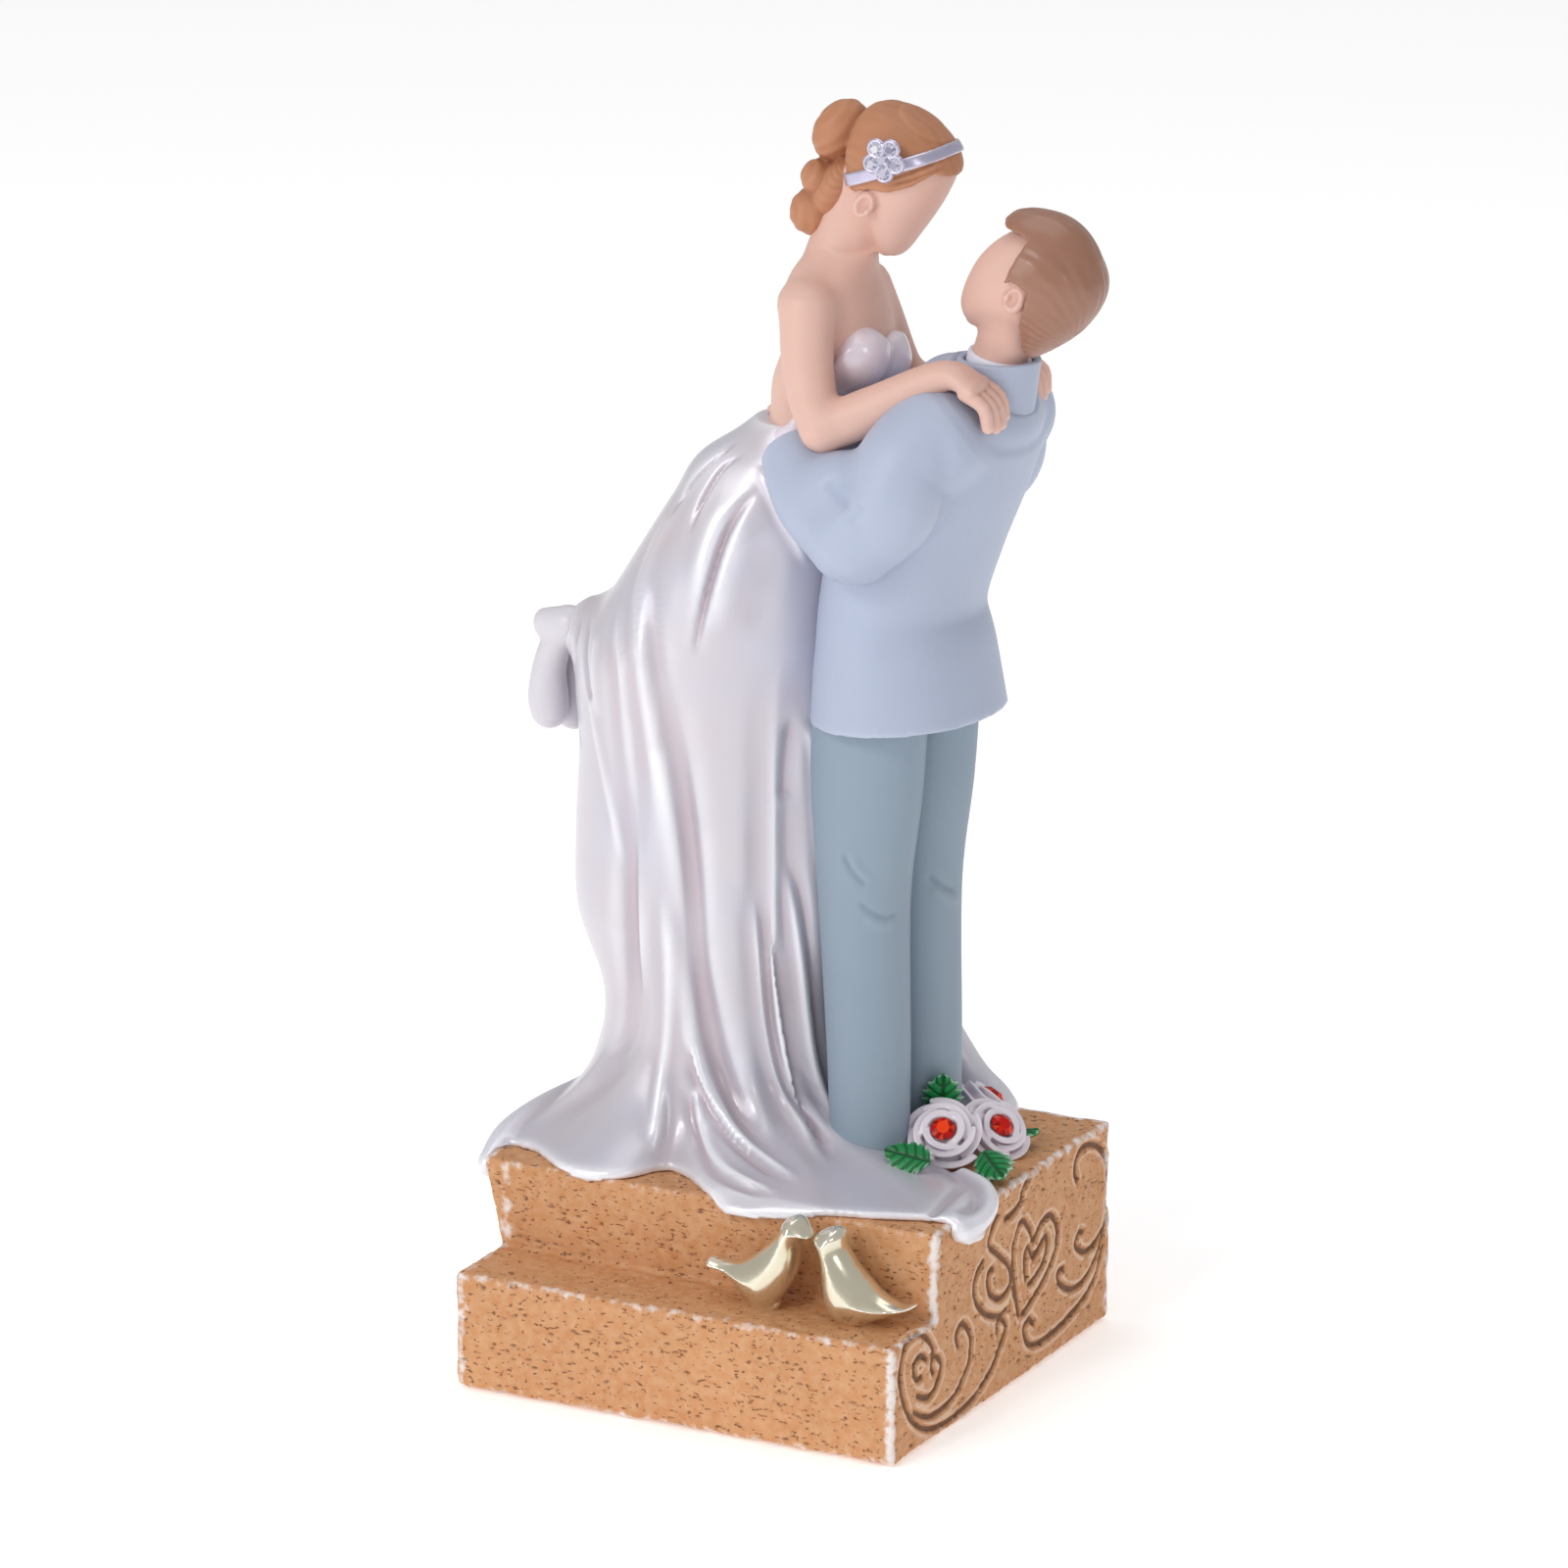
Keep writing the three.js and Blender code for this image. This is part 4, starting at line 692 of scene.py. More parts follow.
def brushedEdges(points):  # how much of the white brush each point takes, by the nearest edge of the block
    x0, x1 = plinthLow[0] + plinth["flare"], plinthHigh[0]
    y0, y1, y2 = plinthLow[1], plinth["riser"], plinthHigh[1]
    z0, z1, z2 = plinthLow[2], plinth["tread"], plinthHigh[2]
    edges = [
        ((x0, y0, z1), (x1, y0, z1), 0.5), ((x1, y0, z1), (x1, y1, z1), 0.6),
        ((x1, y0, z0), (x1, y0, z1), 0.85), ((x1, y1, z1), (x1, y1, z2), 0.85),
        ((x1, y1, z2), (x1, y2, z2), 0.6), ((x0, y1, z2), (x1, y1, z2), 0.35),
        ((x0, y1, z1), (x0, y1, z2), 0.5), ((x0, y0, z1), (x0, y1, z1), 0.4),
        ((x0, y0, z0), (x0, y0, z1), 0.6), ((x0, y0, z0), (x1, y0, z0), 0.45),
        ((x1, y0, z0), (x1, y2, z0), 0.35), ((x1, y2, z0), (x1, y2, z2), 0.6),
        ((plinthLow[0], y2, z2), (x1, y2, z2), 0.6), ((plinthLow[0], y1, z2), (plinthLow[0], y2, z2), 0.6)]
    most = np.zeros(len(points))
    for start, end, amount in edges:
        start, way = np.array(start), np.array(end) - start
        share = np.clip((points - start) @ way / (way @ way), 0, 1)
        gap = np.linalg.norm(points - start - share[:, None] * way, axis=1)
        most = np.maximum(most, amount * np.exp(-((gap / plinth["brushWidth"]) ** 2)))
    return most


def carvedPlinth():
    box = clayBox(plinthLow - 2, plinthHigh + 2, plinth["voxel"])
    points, faces = surfaceOf(box, plinthClay(box["places"]), 2)
    normals = normalsOf(points, faces)
    rough = sum(height * waves(points, length, seed) for height, length, seed in plinth["rough"])
    points = points + normals * rough[:, None]
    uncut = points
    cut = (plinth["carveWidth"], plinth["carveDepth"], "carved", plinth["carveFade"])
    points = sculpted(points, faces, [(line, *cut) for line in plinth["carving"]])
    # pits and scratches, longer along the courses of the stone
    rng = np.random.default_rng(11)
    tree = KDTree(len(points))
    for i, p in enumerate(points):
        tree.insert(p, i)
    tree.balance()
    upright, level = np.flatnonzero(np.abs(normals[:, 2]) < 0.5), np.flatnonzero(normals[:, 2] > 0.8)
    chosen = [rng.choice(side, count) for side, count in zip((upright, level), plinth["pits"])]
    sink = np.zeros(len(points))
    for i in np.concatenate(chosen):
        length, width, depth = (rng.uniform(*span) for span in plinth["pitSizes"])
        tilt = rng.normal(0, plinth["pitTilt"])
        along = unit(np.cross(normals[i], (0.0, 0.0, 1.0)) + 1e-6)
        course = along * math.cos(tilt) + np.cross(normals[i], along) * math.sin(tilt)
        near = np.array([j for _, j, _ in tree.find_range(points[i], 2.2 * length)])
        gap = points[near] - points[i]
        u = gap @ course
        w = np.linalg.norm(gap - u[:, None] * course, axis=1)
        sink[near] = np.maximum(sink[near], depth * np.exp(-((u / length) ** 2 + (w / width) ** 2) * 1.4))
    points = points - normals * sink[:, None]
    marks = {"carved": ((points - uncut) * normals).sum(1), "edge": brushedEdges(uncut)}
    makePiece("stone_plinth", points, faces, stoneFinish, ["plinth"], marks, 0.55)


carvedPlinth()

# gown: skirt with a spread hem, long folds, and the drape over the raised shins
gown = {
    "voxel": 0.34,
    "height": 93,
    "halfDepth": 18,
    "halfWidth": 15.5,
    "waistX": 0.6,
    "hemThick": 0.9,
    "droops": np.array((1.3, 3.0, 2.4)),  # over the front edge, the right side and the left side
    "creaseDepth": 1.2,
    "creaseWidth": 7,  # degrees
    "creaseFade": (0.7, 0.25),  # share of the height where the creases end, and how far below they fade
    "hang": 1.6,  # past an edge, where the hem has dropped in full
    "soft": {"shins": 4.0, "cloth": 3.0, "rolls": 1.6},
    "hem": [  # heading from +X towards +Y, reach from the gown's axis, height of the flare
        (-180, 20.5, 18), (-165, 22, 18), (-152, 25, 19), (-144, 27, 21), (-137, 29, 22), (-131, 27, 23),
        (-126, 25.8, 24), (-121, 25.9, 24), (-107, 27, 24), (-99, 26.6, 23), (-90, 24.3, 22), (-84, 20.4, 21),
        (-73, 21.8, 20), (-61, 31, 18), (-52, 34.4, 17), (-45, 38.2, 16), (-37, 41, 15), (-29, 46.3, 14),
        (-25.5, 49.2, 14), (-21.5, 48.8, 14), (-17.5, 47.1, 14), (-14.5, 43.9, 14), (-10.8, 38.6, 14),
        (-6, 33, 15), (4, 25.5, 16), (15, 27, 18), (30, 36, 20), (45, 31, 22), (70, 23, 22), (110, 22, 21),
        (140, 25, 20), (160, 22.5, 19), (180, 20.5, 18)],
    "sections": [  # shares of the height, of the way from the axis to the waist, of depth and of width
        (0, 0, 1, 1), (0.2, 0.05, 0.86, 0.92), (0.31, -0.03, 1, 1), (0.4, -0.02, 1.02, 1),
        (0.52, 0, 1, 1), (0.68, 0.02, 0.98, 1), (0.76, 0.19, 0.83, 0.95), (0.82, 0.32, 0.73, 0.88),
        (0.89, 0.48, 0.62, 0.76), (0.945, 0.58, 0.51, 0.6), (0.98, 0.76, 0.38, 0.46), (1, 0.88, 0.34, 0.4)],
    "creases": [  # heading at the hem, at the knees, at the hips
        (-140, -104, -112), (-44, -77, -92), (-28, -44, -42), (-13, -31, -26), (22, 40, 40), (52, 68, 66),
        (92, 98, 96), (128, 132, 130), (170, 165, 160)],
    "shins": [(-18, 0, 60, 8.5, 7.5), (-25, 0, 62.0, 6.5, 5), (-30.8, 0, 62.8, 5, 3.6)],
    "rolls": [  # thick folded edges: line and half thickness at its ends
        ([(24.5, 0.5, 27.5), (28.8, -2.5, 27.6), (31.4, -6, 26.8), (32, -10, 26), (30.8, -13.5, 25.5)],
          (0.8, 1.2)),
        ([(-28, 12, 28.4), (-31.5, 4, 28.4), (-33, -4, 28.1), (-34, -10.5, 26.8), (-33.7, -15.5, 24.5)],
          (2.0, 1.6)),
        ([(-8, 17.5, 62), (-3.5, 21.5, 56.5), (1, 23.5, 52), (5, 24.5, 44.5), (8.4, 25, 38.3),
          (13.2, 25, 31.9), (16.4, 25, 29.4), (18, 24.6, 28)], (3.4, 1.5))],
    "sheet": {"bars": 44, "toward": (-13, 7, 12), "share": (0.7, 0.45, 0.25), "halves": (1.6, 2.0)},
    "pleats": [  # drawn over the photograph: line, width, depth, kind
        ([(633, 606), (628, 650), (631, 700), (637, 760), (645, 830), (650, 900), (653, 970), (652, 1020),
          (645, 1060), (622, 1092), (590, 1125)], 1.1, 0.42, "pleat"),
        ([(598, 690), (606, 735), (617, 790), (630, 850), (640, 900)], 0.7, 0.3, "ridge"),
        ([(668, 575), (662, 620), (661, 660), (665, 700), (673, 745), (686, 805), (697, 870), (704, 930),
          (708, 1000), (713, 1050), (724, 1092), (746, 1140), (772, 1170), (800, 1190)],
          1.2, -0.55, "pleat"),
        ([(676, 900), (682, 960), (684, 1010), (682, 1060), (674, 1110), (669, 1150), (668, 1182)],
          0.9, 0.65, "ridge"),
        ([(690, 915), (697, 970), (701, 1010), (703, 1060)], 0.6, 0.25, "groove"),
        ([(704, 1060), (712, 1095), (728, 1130), (748, 1160), (778, 1186), (815, 1208)],
          0.65, 0.6, "pleat"),
        ([(706, 1105), (712, 1150), (726, 1185), (752, 1205), (796, 1222)], 0.65, 0.55, "pleat"),
        ([(752, 880), (760, 960), (766, 1040), (778, 1100), (792, 1150), (812, 1190)], 1.6, 0.3, "groove"),
        ([(772, 900), (777, 970), (783, 1040), (795, 1095), (815, 1140), (852, 1195)],
          0.7, -0.65, "pleat"),
        ([(784, 940), (792, 1000), (800, 1055), (810, 1105), (824, 1145), (842, 1172)],
          0.6, -0.55, "pleat"),
        ([(802, 870), (814, 925), (823, 985), (829, 1040), (836, 1085), (850, 1130), (868, 1172)],
          0.7, -0.55, "pleat"),
        ([(862, 1118), (876, 1150), (893, 1172)], 0.6, 0.35, "ridge"),
        ([(757, 449), (735, 463), (711, 485), (696, 507), (682, 533)], 0.42, 0.8, "groove", 0.35),
        ([(764, 461), (740, 475), (725, 495), (712, 520), (703, 548)], 0.4, 0.7, "groove", 0.35),
        ([(777, 497), (758, 515), (745, 535), (735, 558), (725, 590), (717, 620), (711, 650), (708, 674)],
          0.55, 1.1, "groove", 0.4),
        ([(748, 500), (733, 525), (722, 552), (714, 585), (707, 625)], 1.5, 0.4, "ridge", 0.35),
        ([(768, 524), (754, 550), (743, 585), (735, 620), (728, 655)], 1.4, 0.45, "ridge", 0.35),
        ([(788, 540), (778, 580), (768, 620), (762, 660)], 1.8, 0.3, "groove", 0.4),
        ([(700, 508), (680, 537), (664, 570), (654, 610), (650, 680)], 1.5, 0.35, "ridge", 0.3),
        ([(776, 474), (782, 495), (796, 525), (810, 550), (828, 582)], 0.6, 0.45, "ridge"),
        ([(824, 736), (830, 770), (833, 830), (838, 900)], 0.6, 0.4, "ridge"),
        ([(808, 732), (802, 780), (800, 820)], 1.0, 0.5, "groove"),
        ([(945, 1244), (957, 1235), (970, 1222), (986, 1207)], 0.6, 0.5, "groove"),
        ([(583, 622), (575, 655), (573, 690), (582, 730)], 0.5, 0.35, "groove"),
        ([(592, 628), (586, 670), (588, 720), (594, 770)], 0.55, 0.35, "groove"),
        ([(602, 626), (597, 665), (600, 700), (606, 716)], 0.6, 0.4, "groove"),
        ([(610, 640), (606, 690), (611, 740)], 0.8, 0.25, "ridge")],
    "backPleats": [  # heading and share of the height along each line, width, depth, kind
        ([(175, 0.05), (168, 0.3), (165, 0.6), (155, 0.85)], 1.2, 0.6, "pleat"),
        ([(140, 0.04), (135, 0.3), (138, 0.6), (128, 0.9)], 1.2, -0.6, "pleat"),
        ([(110, 0.04), (112, 0.35), (108, 0.7), (110, 0.92)], 1.1, 0.55, "pleat"),
        ([(80, 0.05), (84, 0.35), (88, 0.65), (86, 0.9)], 1.1, -0.55, "pleat"),
        ([(60, 0.04), (66, 0.3), (70, 0.6), (66, 0.88)], 1.0, 0.5, "pleat"),
        ([(38, 0.04), (46, 0.25), (52, 0.5)], 0.9, -0.45, "pleat"),
        ([(-165, 0.05), (-170, 0.25), (-172, 0.45)], 1.0, 0.45, "pleat"),
        ([(120, 0.7), (116, 0.85), (112, 0.96)], 0.7, 0.7, "groove"),
        ([(150, 0.72), (142, 0.86), (135, 0.96)], 0.7, 0.7, "groove"),
        ([(170, 0.76), (160, 0.88), (150, 0.96)], 0.7, 0.6, "groove"),
        ([(92, 0.74), (94, 0.86), (96, 0.95)], 0.7, 0.6, "groove"),
    ],
}


def gownReach(heading, share):  # axis x, reach from it, and height, over headings and shares of the height
    shift, depthShare, widthShare = throughRows(gown["sections"], share).T[:, :, None]
    heading = np.asarray(heading)[None, :]
    turn = np.radians(heading)
    depth, width = gown["halfDepth"] * depthShare, gown["halfWidth"] * widthShare
    axisX = gownAxis[0] + shift * (gown["waistX"] - gownAxis[0])
    z = share[:, None] * gown["height"]
    oval = depth * width / np.hypot(width * np.cos(turn), depth * np.sin(turn))
    lines = [throughRows([(0, hem), (0.15, (hem + 2 * knee) / 3), (0.45, knee), (1, hip)], share)
             for hem, knee, hip in gown["creases"]]
    nearest = np.min([np.abs(heading - line) for line in lines], axis=0)
    end, fade = gown["creaseFade"]
    crease = gown["creaseDepth"] * np.clip((end - share) / fade, 0, 1)[:, None]
    crease = crease * np.exp(-((nearest / gown["creaseWidth"]) ** 2))
    hemReach, flare = throughRows(gown["hem"], heading[0]).T[:, None, :]
    spread = np.clip(1 - (z - gown["hemThick"]) / flare, 0, 1) ** 5
    return axisX, oval * (1 - spread) + hemReach * spread - crease, z


def gownSkirt():
    heading = np.linspace(-180, 180, 420, endpoint=False)
    share = np.linspace(0, 1, 260) ** 1.35
    axisX, reach, z = gownReach(heading, share)
    turn = np.radians(heading)[None, :]
    x, y = axisX + reach * np.cos(turn), gownAxis[1] + reach * np.sin(turn)
    z = z + stand[2] + 0 * x
    # the hem hangs over the plinth's edges
    past = np.array([plinth["riser"] - y, x - plinthHigh[0], plinthLow[0] - x])
    hang = np.clip(past / gown["hang"], 0, 1)
    drop = (gown["droops"][:, None, None] * hang * hang * (3 - 2 * hang)).max(0)
    z = z - drop * np.clip(1 - share[:, None] / 0.08, 0, 1)
    skirt = skinOf(np.stack([x, y, z], -1))
    shins = tube(fromStand(gown["shins"]))
    box = boxRound([skirt, shins], gown["voxel"])
    soft = gown["soft"]
    clay = blend(clayFrom(box, skirt), clayFrom(box, shins), soft["shins"])
    # cloth between the train's fold, the last of the rolls, and the skirt
    sheet = gown["sheet"]
    crest = throughPoints(gown["rolls"][-1][0], sheet["bars"])
    cloth = bar(box, crest, (sheet["halves"][0],) * 2)
    for point in crest:
        inner = point + (np.array(sheet["toward"]) + (0, 0, point[2]) - point) * sheet["share"]
        cloth = np.minimum(cloth, bar(box, [point, inner], sheet["halves"]))
    clay = blend(clay, cloth, soft["cloth"])
    for line, halves in gown["rolls"]:
        clay = blend(clay, bar(box, throughPoints(line, 20), halves), soft["rolls"])
    points, faces = surfaceOf(box, seated(clay, box, 0.02), 6)
    lines = []
    for line, width, depth, kind in gown["backPleats"]:
        line = throughPoints(line, 24)
        axisX, reach, height = gownReach(line[:, 0], line[:, 1])
        turn, reach, axisX = np.radians(line[:, 0]), np.diagonal(reach), axisX[:, 0]
        x, y = axisX + reach * np.cos(turn), gownAxis[1] + reach * np.sin(turn)
        lines.append((np.stack([x, y, height[:, 0] + stand[2]], -1), width, depth, kind))
    points = sculpted(points, faces, [*gown["pleats"], *lines])
    points = eased(points, edgesOf(faces), 1)
    paintedPiece("gown_pearl_skirt", points, faces, pearlLacquer, "gown_pearl", ["gown_skirt"], 0.58, 40)


gownSkirt()

# groom: trousers
trousers = {
    "voxel": 0.3,
    "near": [(10.8, -5.1, -0.4, 4.7, 5), (10.6, -5.1, 14.4, 4.9, 5.3), (9.9, -5.1, 34.5, 5.2, 5.9),
             (10.2, -5.1, 48.9, 5.9, 7.2), (10.9, -5.1, 62.5, 6, 7.4)],
    "toFar": (2, 10.2, 0, 0, 0),
    "soft": 0.5,
    "creases": [
        ([(861, 868), (871, 888), (888, 905)], 0.5, 0.22, "pleat"),
        ([(872, 918), (888, 931), (905, 937), (919, 929)], 0.5, 0.22, "groove"),
        ([(880, 935), (900, 946), (915, 942)], 0.9, 0.2, "ridge"),
        ([(944, 893), (960, 903), (977, 911)], 0.5, 0.25, "groove"),
        ([(950, 905), (965, 917), (980, 921)], 0.9, 0.2, "ridge"),
    ],
}


def groomTrousers():
    leg = fromStand(trousers["near"])
    near, far = tube(leg, domes=(0, 0)), tube(leg + trousers["toFar"], domes=(0, 0))
    box = boxRound([near, far], trousers["voxel"])
    clay = blend(clayFrom(box, near), clayFrom(box, far), trousers["soft"])
    points, faces = surfaceOf(box, seated(clay, box, 0.05))
    points = sculpted(points, faces, trousers["creases"])
    paintedPiece("groom_trousers", points, faces, trouserAcrylic, "trouser_paint",
                 ["groom_left_trouser_leg", "groom_right_trouser_leg"])


groomTrousers()

# groom: jacket with its sleeves
jacket = {
    "voxel": 0.3,
    "body": [
        (13.4, 0, 57.5, 14.2, 11.6), (12.9, 0, 65, 13.4, 10.7), (12.6, 0, 72.1, 12.7, 9.6),
        (14.9, 0, 81.2, 13.2, 9.9), (18.6, 0, 89.9, 14.2, 9.6), (21.8, 0, 95.8, 13.4, 8.6),
        (23.5, 0, 98.2, 10.5, 7.5), (24.6, 0, 99.9, 7, 6.1)],
    "uppers": [[(22.6, -10.0, 95.2, 5.2, 5.7), (19.2, -13.2, 91.8, 5.5, 6.0), (17.9, -14.6, 87.0, 5.5, 5.9),
                (13.3, -15, 82.4, 5.2, 5.4)],
               [(22.1, 10.0, 94.8, 5.2, 5.8), (18.7, 13.2, 92.2, 5.7, 6.3), (17.8, 14.6, 87.2, 5.5, 5.9),
                (13.3, 15, 82.4, 5.2, 5.4)]],
    "fore": [(13.3, -15, 82.4, 5.1, 5.3), (6.8, -12.4, 86.4, 5, 5.1), (2, -8.8, 91, 4.2, 4.2)],
    "elbow": ((11.3, -13.2, 88.4), (5, 4.2, 4.5)),  # cloth bunched in the bend
    "soft": {"bend": 2.2, "elbow": 2.5, "waist": 0.9, "shoulder": 2.6},
    "softFrom": (82, 16),  # height where the sleeves start to run into the body, and how far up it grows
    "creases": [
        ([(955, 430), (963, 465), (966, 500), (958, 535)], 1.3, 0.16, "groove"),
        ([(840, 488), (853, 504), (868, 520)], 0.9, 0.24, "groove"),
        ([(880, 512), (872, 524), (864, 540)], 1.1, 0.15, "groove"),
    ],
}


def mirrored(rows):
    rows = np.array(rows, float)
    rows[:, 1] *= -1
    return rows


def groomJacket():
    body = tube(fromStand(jacket["body"]), domes=(0, 0), sides=56)
    skins = [body]
    for upper, side in zip(jacket["uppers"], (np.array, mirrored)):
        skins += [tube(fromStand(upper)), tube(fromStand(side(jacket["fore"])), domes=(0.8, 0.1))]
    box = boxRound(skins, jacket["voxel"])
    clay = clayFrom(box, body)
    # the sleeves run into the shoulders softly and lie sharp against the body lower down
    soft = jacket["soft"]
    start, rise = jacket["softFrom"]
    high = np.clip((box["places"][..., 2] - stand[2] - start) / rise, 0, 1)
    seam = soft["waist"] + soft["shoulder"] * high
    for (upper, fore), flip in ((skins[1:3], 1), (skins[3:5], -1)):
        sleeve = blend(clayFrom(box, upper), clayFrom(box, fore), soft["bend"])
        middle, halves = jacket["elbow"]
        bunch = egg(box["places"], np.array(middle) * (1, flip, 1) + stand, halves)
        clay = blend(clay, blend(sleeve, bunch, soft["elbow"]), seam)
    points, faces = surfaceOf(box, clay, 4)
    points = sculpted(points, faces, jacket["creases"])
    paintedPiece("groom_satin_jacket", points, faces, jacketAcrylic, "jacket_paint",
                 ["groom_jacket", "groom_left_upper_sleeve", "groom_right_upper_sleeve",
                  "groom_left_fore_sleeve", "groom_right_fore_sleeve"])


groomJacket()

# heads: each in its own frame, forward, left and up from the chin's level
headSections = [  # level, front, back, half width in shares of the head's height
    (-0.08, 0.33, 0.22, 0.08), (-0.03, 0.395, 0.16, 0.14), (0.05, 0.435, 0.06, 0.21),
    (0.2, 0.458, -0.16, 0.3), (0.4, 0.47, -0.36, 0.37), (0.6, 0.452, -0.43, 0.395),
    (0.78, 0.4, -0.43, 0.38), (0.9, 0.3, -0.36, 0.31), (0.97, 0.15, -0.22, 0.18)]
groom = {
    "voxel": 0.2,
    "height": 15.2,
    "base": (25.9, 0, 106.1),
    "facing": 180,
    "tilt": -35,
    "neck": [(23.6, 0, 92, 3.2, 3.2), (24.4, 0, 97, 3.2, 3.2), (25.2, 0, 102.8, 3.3, 3.3),
             (26.9, 0, 107.5, 3.5, 3.5)],
    "ear": (-0.01, 0.48),
    "hairDepth": 0.9,
    "brow": 0.05,
    "hairline": [(0.7, 0.82), (0.52, 0.8), (0.42, 0.815), (0.3, 0.88), (0.2, 0.9), (0.16, 0.66),
                 (0.13, 0.54), (0.09, 0.6), (-0.07, 0.62), (-0.115, 0.46), (-0.14, 0.32), (-0.23, 0.14),
                 (-0.34, -0.04), (-0.8, -0.04), (-0.8, 1.4), (0.7, 1.4)],
    "crown": ((0.035, 0, 0.562), (0.535, 0.436, 0.575)),
    "quiff": ((0.25, 0, 0.845), (0.245, 0.257, 0.15)),
    "nape": [(-0.24, 0, 0.45, 0.32, 0.2), (-0.24, 0, 0.18, 0.26, 0.14), (-0.24, 0, 0.03, 0.17, 0.08)],
}
bride = {
    "voxel": 0.22,
    "height": 15.4,
    "base": (7.1, 0, 118.2),
    "facing": 0,
    "tilt": 34,
    "neck": [(3.6, 0, 108, 2.9, 2.8), (3.7, 0, 114, 3.0, 2.9), (4.5, 0, 116.6, 3.1, 3.6),
             (5.6, 0, 119, 3.1, 4.1), (7.2, 0, 123.2, 3.1, 4.1)],
    "ear": (0.03, 0.29),
    "hairDepth": 0.8,
    "brow": -0.035,  # how much flatter the face is than the groom's, whose brow is full
    "hairline": [(0.7, 0.8), (0.33, 0.81), (0.26, 0.65), (0.15, 0.51), (0, 0.42), (-0.09, 0.32), (-0.2, 0.16),
                 (-0.26, -0.1), (-0.8, -0.1), (-0.8, 1.4), (0.7, 1.4)],
    "torso": [(-1.6, 0, 87.7, 6.6, 5.6), (0.3, 0, 93, 6.2, 5.4), (1.83, 0, 98.3, 7.1, 6.3),
              (3.8, 0, 103.6, 8, 6), (4.56, -0.6, 107.8, 7.8, 4.8), (4.78, -1, 111, 6.6, 3.7),
              (4.8, -0.3, 113.1, 4.9, 3.6), (5, 0, 114.5, 3.6, 3.3)],
    "nearShoulder": [(2.7, 0, 114.2), (2.3, -2, 112.9), (2.0, -5, 111.2), (2.6, -8, 109.6)],
    "farShoulder": [(2.8, 0, 114.1), (2.6, 2, 112.5), (2.5, 4.6, 110.4)],
    "upperArms": [[(4.1, -9.4, 109.2, 3.1, 3.2), (4.6, -10.4, 104, 3.0, 3.1), (5.8, -11.2, 98.5, 2.8, 2.9),
                   (7.6, -11.8, 94.8, 2.7, 2.8)],
                  [(3.7, 6.3, 108.7, 3.1, 3.2), (4.9, 8, 104, 3.0, 3.1), (6.2, 10, 98.5, 2.8, 2.9),
                   (7.6, 11.8, 94.8, 2.7, 2.8)]],
    "forearms": [[(7.6, -11.8, 94.8, 2.7, 2.8), (14.2, -10.4, 98, 2.5, 2.7), (22.2, -8.8, 102.4, 2.2, 1.8),
                  (26.4, -8.2, 101.4, 3.1, 1.05)],
                 [(7.6, 11.8, 94.8, 2.7, 2.8), (13.4, 10.4, 96.2, 2.5, 2.7), (20.4, 8.8, 99.6, 2.2, 1.8),
                  (24.6, 8.2, 100.6, 3.1, 1.05)]],
    "fingertips": [(29.2, -7.8, 96.6), (27.0, 7.8, 96.6)],
    "finger": 0.75,
}


def headAxes(head):  # rows are the head's forward, left and up
    turn, tilt = math.radians(head["facing"]), math.radians(head["tilt"])
    forward = np.array([math.cos(turn) * math.cos(tilt), math.sin(turn) * math.cos(tilt), -math.sin(tilt)])
    left = np.array([-math.sin(turn), math.cos(turn), 0])
    return np.array([forward, left, np.cross(forward, left)])


def inHead(head, places):  # places seen from the head, in millimetres
    base = (np.array(head["base"]) + stand).astype(np.float32)
    return (places - base) @ headAxes(head).T.astype(np.float32)


def fromHead(head, points):
    return points @ headAxes(head) + np.array(head["base"]) + stand


def skullSkin(head, grow=0.0):
    size = head["height"]
    rows = []
    for level, front, back, half in headSections:
        front += head["brow"] * math.sin(math.pi * min(max((level + 0.1) / 0.9, 0), 1))
        wide, deep = half * size + grow, (front - back) / 2 * size + grow
        rows.append(((front + back) / 2 * size, 0, level * size, wide, deep))
    points, *faces = tube(rows, axis=(0, 0, 1), domes=(0.4, 0.2), sides=56, steps=60)
    return fromHead(head, points), *faces


ear = {  # halves of each part, and its place from the rim's middle
    "aside": 0.385,  # of the head's height
    "rim": (1.3, 0.95, 1.85),
    "bowl": ((0.95, 0.85, 1.4), (0.3, 0.95, 0.1)),
    "flap": ((0.35, 0.4, 0.5), (0.95, 0.35, -0.3)),
}


def withEars(head, box, clay):
    size = head["height"]
    local = inHead(head, box["places"])
    for side in (-1, 1):
        middle = np.array([head["ear"][0] * size, side * ear["aside"] * size, head["ear"][1] * size])
        bowl, flap = (egg(local, middle + np.array(place) * (1, side, 1), halves)
                      for halves, place in (ear["bowl"], ear["flap"]))
        clay = cutBack(blend(clay, egg(local, middle, ear["rim"]), 0.35), bowl, 0.1)
        clay = blend(clay, flap, 0.2)
    return clay


def combed(points, faces, phase, depth, spacing):  # grooves where a phase in millimetres repeats
    wave = np.cos(2 * np.pi * phase / spacing + 0.8 * waves(points, 5, 21))  # the comb wavers
    sink = depth * (wave - 1) / 2 * (0.75 + 0.25 * waves(points, 3, 23))
    return points + normalsOf(points, faces) * sink[:, None]


